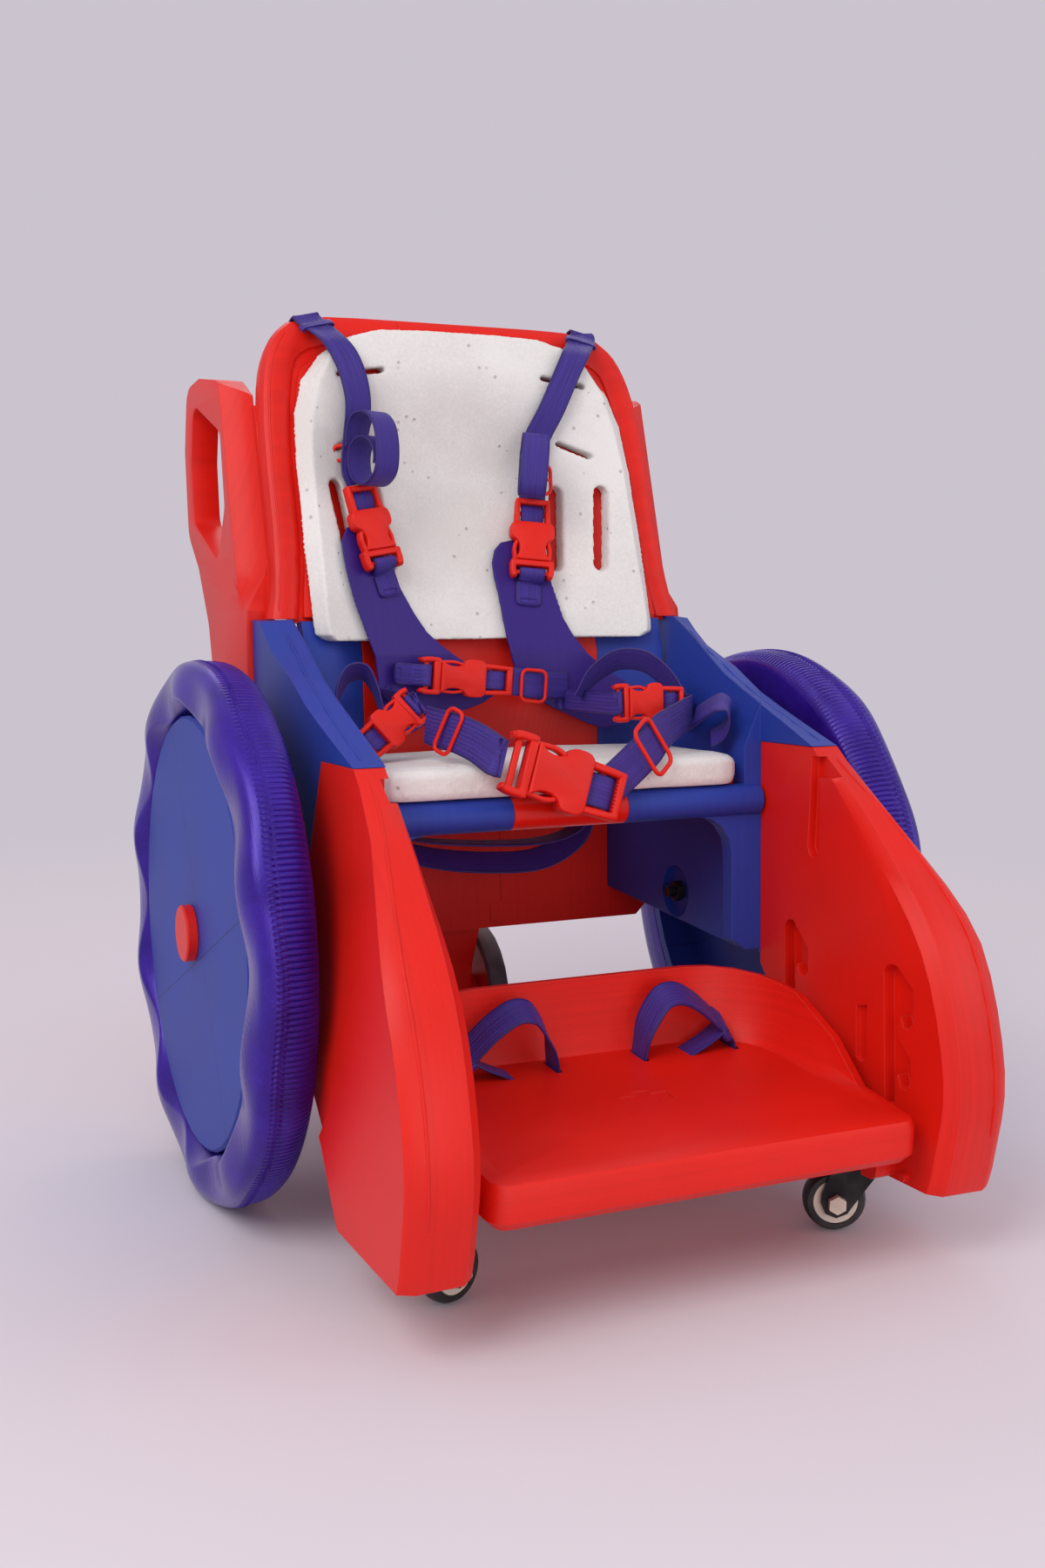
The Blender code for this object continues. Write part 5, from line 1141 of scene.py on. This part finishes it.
def welded_tab(name, place, body, length=17.0, room=0.0):
    """A tab from the round bar down to the vest, with its pressed rectangle. Room keeps it clear of
    the vest where the clip slides along it."""
    across = place[2].normalized()
    width = TAB_HALF * place[2].length / 1000 * 2
    along = place[1].length
    path = [in_buckle(place, u, 0, w) for u, w in TAB_BEND]
    path += [on_vest(place, TAB_START, 0, 0.0014 + room)]
    path += [on_vest(place, TAB_START + length * share / along, 0, 0.0010 + room)
             for share in (0.35, 0.7, 1.0)]
    strap(name, path, across, width, body, steps=5, thick=0.0019, round_end=0.0035)
    middle = TAB_START + length * 0.80 / along
    lift = 0.0021 + room
    here = on_vest(place, middle, 0, lift)
    run = (on_vest(place, middle + 2, 0, lift) - here).normalized()
    side = (on_vest(place, middle, 2, lift) - here).normalized()
    flat = (here, run, side, side.cross(run) if side.cross(run).y < 0 else run.cross(side))
    ring_slider(f"{name}_pressed_mark", flat, 5.0, width * 1000 - 6.0, body, 1.0, corner=1.2,
                finish=SMOOTH_PURPLE, slot="purple_webbing")


for word in SIDES:
    welded_tab(f"shoulder_tab_{word}", PLACES[f"shoulder_{word}"], f"shoulder_clip_{word}")
welded_tab("chest_tab", PLACES["chest"], "chest_clip", 14.0, room=0.0042)
welded_tab("hip_tab_left", PLACES["hip_left"], "frame", 6.0)
welded_tab("hip_tab_right", PLACES["hip_right"], "frame", 6.0)
print("tabs welded")

# %% [markdown]
# The long ends of the shoulder straps are rolled up and held above the buckles. A roll is a strap
# whose path turns round an axis, which is simpler to steer than a cloth that is rolled up.

# %% Rolled spare webbing
# Each is a way as (forward, up), from 0 to 1. One roll shows a single turn, the other a turn with
# a loop below and one above.
ONE_TURN = [(0.02, 0.28), (0.00, 0.55), (0.10, 0.84), (0.36, 1.00), (0.66, 0.97), (0.90, 0.76),
            (1.00, 0.46), (0.90, 0.16), (0.62, 0.00), (0.34, 0.01), (0.15, 0.16), (0.11, 0.38),
            (0.22, 0.58), (0.44, 0.64), (0.66, 0.55), (0.76, 0.34), (0.66, 0.15), (0.50, 0.09)]
TWO_ROOMS = [(-0.04, 0.56), (0.00, 0.76), (0.14, 0.94), (0.38, 1.00), (0.68, 0.96), (0.92, 0.77),
             (1.00, 0.46), (0.92, 0.15), (0.64, 0.00), (0.34, 0.00), (0.10, 0.13), (0.02, 0.34),
             (0.10, 0.54), (0.32, 0.64), (0.58, 0.64), (0.80, 0.54), (0.90, 0.38), (0.88, 0.24)]


def roll(name, centre, axis, forward, tall, deep, turns):
    """Spare webbing rolled up round an axis: turns are its way, seen from its end."""
    axis, forward = Vector(axis).normalized(), Vector(forward)
    forward = (forward - axis * forward.dot(axis)).normalized()
    high = forward.cross(axis)
    high = high if high.z > 0 else -high
    centre = Vector(centre)
    path = [centre + forward * (d - 0.5) * deep + high * (q - 0.5) * tall for d, q in turns]
    return strap(name, path, axis, WEB_W, "frame", steps=5)


roll("rolled_webbing_right", (-0.0830, 0.0760, 0.5075), (0.95, 0.31, -0.02), (0.1, -1, 0.05), 0.049, 0.034,
     TWO_ROOMS)
roll("rolled_webbing_left", (0.0420, 0.0820, 0.5000), (0.93, -0.33, -0.10), (-0.2, -1, 0.15), 0.044, 0.020,
     ONE_TURN)
for word, centre, out in (("right", (-0.0925, 0.0990, 0.5010), (-0.45, -0.88, 0.15)),
                          ("left", (0.0500, 0.0905, 0.4900), (0.25, -0.95, 0.2))):
    place = buckle_place(centre, (0.05, 0.05, -1), out)
    ring_slider(f"shoulder_triglide_{word}", place, 23, 25, "frame", 2.8, bar=True)
print("two rolls and their rings")

# %% [markdown]
# The printed rings on the chest and lap straps take up their slack. They lie flat on the webbing,
# so each gets the strap's own direction there.

# %% Sliders on the chest and lap straps
LAP_RING_LEFT = buckle_place((0.0553, -0.0728, 0.3045), (0.7361, 0.4907, 0.4662), (0.4084, -0.8713, 0.2723))
LAP_RING_RIGHT = buckle_place((-0.0772, -0.0440, 0.3178), (-0.36, 0.82, 0.34), (-0.85, -0.45, 0.2))
CHEST_RING = buckle_place((0.0290, 0.0575, 0.3410), (1, 0.03, -0.10), (0.02, -1, 0.05))
ring_slider("lap_ring_left", LAP_RING_LEFT, 25, 38, "frame", 3.2, ["lap_slider_left"], corner=5.5)
ring_slider("chest_ring", CHEST_RING, 22, 25, "frame", 2.6)
ring_slider("lap_ring_right", LAP_RING_RIGHT, 16, 32, "frame", 2.8)
print("three rings")

# %% [markdown]
# The rest of the spare webbing hangs free by the hips and under the seat rail, and small bands
# keep the ends in place. Each piece starts and ends on the strap, pad or pan that holds it.

# %% Loops by the hips and tails under the seat
LOOPS = {
    "hip_loop_left": ([(0.0560, 0.0380, 0.3330), (0.0650, 0.0340, 0.3480), (0.0800, 0.0260, 0.3590),
                       (0.0960, 0.0150, 0.3580), (0.1080, 0.0040, 0.3460), (0.1150, -0.0050, 0.3300)],
                      (0.20, 0.62, -0.74)),
    "hip_loop_right": ([(-0.1280, 0.0240, 0.3210), (-0.1275, 0.0270, 0.3390), (-0.1200, 0.0280, 0.3530),
                        (-0.1090, 0.0270, 0.3540), (-0.1020, 0.0240, 0.3420), (-0.0990, 0.0190, 0.3260)],
                       (0.25, 0.75, -0.60)),
    "lap_end_left": ([(0.1180, -0.0180, 0.3190), (0.1200, -0.0300, 0.3250), (0.1235, -0.0410, 0.3300),
                      (0.1285, -0.0450, 0.3280), (0.1300, -0.0440, 0.3190), (0.1275, -0.0400, 0.3100),
                      (0.1220, -0.0340, 0.3050)], (0.45, 0.70, 0.55)),
    "seat_tail_front": ([(-0.1180, 0.0000, 0.2612), (-0.1050, 0.0000, 0.2500), (-0.0766, 0.0000, 0.2425),
                         (-0.0326, 0.0000, 0.2379), (0.0063, 0.0000, 0.2372), (0.0316, 0.0000, 0.2435),
                         (0.0480, 0.0000, 0.2610)], (0, 1, 0.06)),
    "seat_tail_rear": ([(-0.1160, 0.0300, 0.2600), (-0.0920, 0.0300, 0.2370), (-0.0623, 0.0300, 0.2261),
                        (-0.0202, 0.0300, 0.2201), (0.0199, 0.0300, 0.2204), (0.0488, 0.0300, 0.2354),
                        (0.0600, 0.0300, 0.2600)], (0, 0.75, 0.66)),
}
for name, (path, wide) in LOOPS.items():
    made = strap(name, path, Vector(wide), WEB_W, "frame")
    print(name, round(made["length"], 3), "m")


# %% [markdown]
# Each foot strap has a band that runs back under its arch, and small keepers hold the ends of the
# webbing at the arch and on the back bar. A keeper is a short strap laid across another.

# %% Under-bands and keepers
KEEPER_REACH, KEEPER_LIFT = 0.0118, 0.0017
KEEPER_BEND = ((-0.93, -1), (-1.0, 0), (-0.86, 1), (0, 1.15), (0.86, 1), (1.0, 0), (0.93, -1))


def keeper(name, centre, run, wide, width, body):
    """A small band across a strap: its path follows the strap's width and bends down at its ends."""
    centre, run, wide = Vector(centre), Vector(run).normalized(), Vector(wide).normalized()
    up = run.cross(wide).normalized()
    up = up if up.dot(UP) > 0 else -up
    path = [centre + wide * (s * KEEPER_REACH) + up * (h * KEEPER_LIFT) for s, h in KEEPER_BEND]
    return strap(name, path, run, width, body, steps=4, thick=0.0013)


BAR_KEEPER = {"left": (0.1026, 0.1270, 0.5967), "right": (-0.1053, 0.1270, 0.5966)}
UNDER_BAND = [(0.0905, -0.0988, 0.1200), (0.0780, -0.1000, 0.1130), (0.0600, -0.1005, 0.1050),
              (0.0440, -0.1000, 0.0985), (0.0335, -0.0980, 0.0950)]
for word, side in SIDES.items():
    path = [(side * x, y, z) for x, y, z in UNDER_BAND]
    strap(f"foot_under_band_{word}", path, FOOT_WIDE, 0.0185, "foot_tray")
    keeper(f"foot_keeper_{word}", (side * 0.0900, -0.0988, 0.1215), (side * 0.80, 0.03, -0.60), ARCH_WIDE,
           0.0070, "foot_tray")
    keeper(f"bar_keeper_{word}", BAR_KEEPER[word], (side * 0.306, 0.794, 0.525), WRAP_WIDE[word], 0.0060,
           "frame")
print("keepers in place")

# %% [markdown]
# ## Thin trim
# A raised bead runs along the armrests and down the arms, and another along the middle of the
# round back bar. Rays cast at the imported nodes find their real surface, so the bead lies on it.

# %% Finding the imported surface
SURFACES = {}


def surface_point(node_name, point, toward):
    """Where a ray from a point of the drawing meets a node, and the surface's direction there."""
    if node_name not in SURFACES:
        mesh = NODES[node_name].data
        SURFACES[node_name] = BVHTree.FromPolygons([v.co for v in mesh.vertices],
                                                   [tuple(p.vertices) for p in mesh.polygons])
    start, way = TO_FLOOR @ Vector(point), (TO_FLOOR.to_3x3() @ Vector(toward)).normalized()
    hit, normal, _, _ = SURFACES[node_name].ray_cast(start, way)
    if hit is None:
        return None
    if normal.dot(way) > 0:
        normal = -normal
    return hit, normal


print("rays find the packed surface of", len(NODES), "nodes")


# %% A bead along a row of points
def bead(name, hits, finish, radius=0.0011, slot="red_plastic"):
    """A half-round line that follows a row of surface points."""
    hits = [hit for hit in hits if hit]
    line = smooth_line([hit for hit, _ in hits], 3)
    ups = smooth_line([normal for _, normal in hits], 3)
    rings = []
    for i, here in enumerate(line):
        ahead = ahead_at(line, i)
        up = (ups[i] - ahead * ups[i].dot(ahead)).normalized()
        side = ahead.cross(up)
        grow = min(1, (min(i, len(line) - 1 - i) + 0.3) / 2)
        rings.append([here + (side * math.cos(a) + up * (math.sin(a) * 0.75 - 0.15)) * (radius * grow)
                      for a in [math.pi * k / 4 for k in range(8)]])
    points, faces = skin(rings)
    return add_piece(name, points, faces, finish, "frame", slot=slot, angle=80, drawn=False)


# %% Beads on the arms and armrests
ARMREST_STEPS = 13
ARM_FRONT = smooth_line([(-0.1206, 0.3035, 0), (-0.179, 0.250, 0), (-0.235, 0.189, 0), (-0.2575, 0.117, 0),
                         (-0.250, 0.065, 0)], 5)
for word, side in SIDES.items():
    hits = []
    for y, z, _ in ARM_FRONT[1:-1]:
        outer = 0.190 - 0.024 * ease((z - 0.185) / 0.1185)
        x = 0.147 + (outer - 0.147) * (0.74 - 0.10 * ease((z - 0.25) / 0.05))
        hits.append(surface_point(f"arm_{word}", (side * x, y - 0.04, z + 0.028), (0, 1, -0.7)))
    bead(f"arm_bead_{word}", hits, RED_PRINT["X"])
    hits = []
    for step in range(ARMREST_STEPS + 1):
        share = step / ARMREST_STEPS
        start = (side * (0.158 - 0.004 * share), -0.114 + 0.170 * share, 0.45)
        hits.append(surface_point(f"side_frame_{word}", start, (0, 0, -1)))
    bead(f"armrest_bead_{word}", hits, BLUE_PRINT, slot="blue_plastic")
print("beads on arms and armrests")

# %% [markdown]
# The bar's own edges are the part's. They place a bead on its front, and a thin lining and a
# small foot close the narrow slit that the bar's round side leaves beside the back shell.

# %% The back bar's edges
BAR_Y, BAR_Z = 0.0735, 0.3903
BAR_OUTER = [(0.1590, 0), (0.1525, 0.050), (0.1515, 0.110), (0.1500, 0.150), (0.1455, 0.185),
             (0.1360, 0.209), (0.1230, 0.2220), (0.0950, 0.2283)]
BAR_INNER = [(0.1370, 0), (0.1305, 0.050), (0.1295, 0.110), (0.1280, 0.138), (0.1245, 0.168),
             (0.1190, 0.190), (0.1090, 0.1985), (0.0890, 0.2045)]


def bar_point(side, x, rise, depth):
    """A point of the leaning frame: depth is measured straight back from its front face."""
    return Vector((side * x, BAR_Y + rise * math.sin(LEAN) + depth * math.cos(LEAN),
                   BAR_Z + rise * math.cos(LEAN) - depth * math.sin(LEAN)))


def bar_line(share):
    """A line along the bar in (across, rise), from its inner edge (0) to its outer edge (1)."""
    edges = [smooth_line([(x, rise, 0) for x, rise in edge]) for edge in (BAR_INNER, BAR_OUTER)]
    return [inner.lerp(outer, share) for inner, outer in zip(*edges)]


BAR_BACKWARD = (0, math.cos(LEAN), -math.sin(LEAN))
FOOT_CORNERS = ((0.112, -0.0012), (0.146, -0.0012), (0.146, 0.0040), (0.112, 0.0040))
LINING_FRONT, LINING_BACK, LINING_UNDER = 0.0040, 0.0065, 0.006
print("the bar's line has", len(bar_line(0)), "points")

# %% The bar's bead, foot and lining
for word, side in SIDES.items():
    hits = [surface_point(f"back_upright_{word}", bar_point(side, p.x, p.y, -0.02), BAR_BACKWARD)
            for p in bar_line(0.74)[1:-9]]
    bead(f"bar_bead_{word}", hits, RED_PRINT["Y"], 0.0009)
    foot = [[bar_point(side, x, rise, deep) for x, rise in FOOT_CORNERS] for deep in (0.0045, 0.0070)]
    add_piece(f"bar_foot_{word}", *skin(foot), RED_PRINT["Y"], "frame", slot="red_plastic")
    edge, rings = bar_line(0)[:-1], []
    for here, ahead in zip(edge, edge[1:]):
        away = Vector((ahead.y - here.y, here.x - ahead.x, 0)).normalized()
        near = -0.004 - 0.009 * ease((here.y - 0.13) / 0.04)
        corners = ((near, LINING_FRONT), (LINING_UNDER, LINING_FRONT), (LINING_UNDER, LINING_BACK),
                   (near, LINING_BACK))
        flat = [(here + away * wide, deep) for wide, deep in corners]
        rings.append([bar_point(side, p.x, p.y, deep) for p, deep in flat])
    add_piece(f"bar_lining_{word}", *skin(rings), RED_PRINT["Y"], "frame", slot="red_plastic", angle=30)
print("the bar has its bead and lining")

# %% [markdown]
# Behind the bar the upright is no flat plate: a hollow flank sweeps out from the bar to the edge
# of the push handle's plate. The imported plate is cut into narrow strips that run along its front
# edge, and the points of each strip slide inward, most at the edge and not at all behind it.

# %% The swept side of the uprights
EDGE_CORNER = Vector((0, 0.0960, 0.3975))
EDGE_NORMAL = Vector((0, 0.1505, -0.0420)).normalized()
SWEEP, EDGE_X, PLATE_X = 0.016, 0.1515, 0.1700
FADE_Z, FADE_RISE = 0.390, 0.042


def swept_upright(word, side):
    """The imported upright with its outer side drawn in, fading to nothing at its foot."""
    node_name = f"back_upright_{word}"
    bm = bmesh.new()
    bm.from_mesh(NODES[node_name].data)
    bmesh.ops.transform(bm, matrix=TO_FLOOR.inverted(), verts=bm.verts)
    bmesh.ops.remove_doubles(bm, verts=bm.verts, dist=WELD)
    cuts = [(EDGE_CORNER + EDGE_NORMAL * SWEEP * step / 4, EDGE_NORMAL) for step in range(1, 5)]
    cuts += [(Vector((0, 0, z)), Vector((0, 0, 1))) for z in (0.396, 0.408, 0.420, 0.432)]
    for place, way in cuts:
        everything = bm.verts[:] + bm.edges[:] + bm.faces[:]
        bmesh.ops.bisect_plane(bm, geom=everything, dist=SAME_POINT, plane_co=place, plane_no=way)
    for vertex in bm.verts:
        behind = min(max((vertex.co - EDGE_CORNER).dot(EDGE_NORMAL) / SWEEP, 0), 1)
        reach = EDGE_X + (PLATE_X - EDGE_X) * behind ** 1.5
        spare = max(abs(vertex.co.x) - reach, 0) * ease((vertex.co.z - FADE_Z) / FADE_RISE)
        vertex.co.x -= side * spare
    mesh = bpy.data.meshes.new(f"swept_upright_{word}")
    bm.to_mesh(mesh)
    bm.free()
    return add_piece(mesh.name, [v.co for v in mesh.vertices], [tuple(p.vertices) for p in mesh.polygons],
                     RED_PRINT["Y"], "frame", [node_name], "red_plastic", angle=35)


for word, side in SIDES.items():
    print(swept_upright(word, side).name)
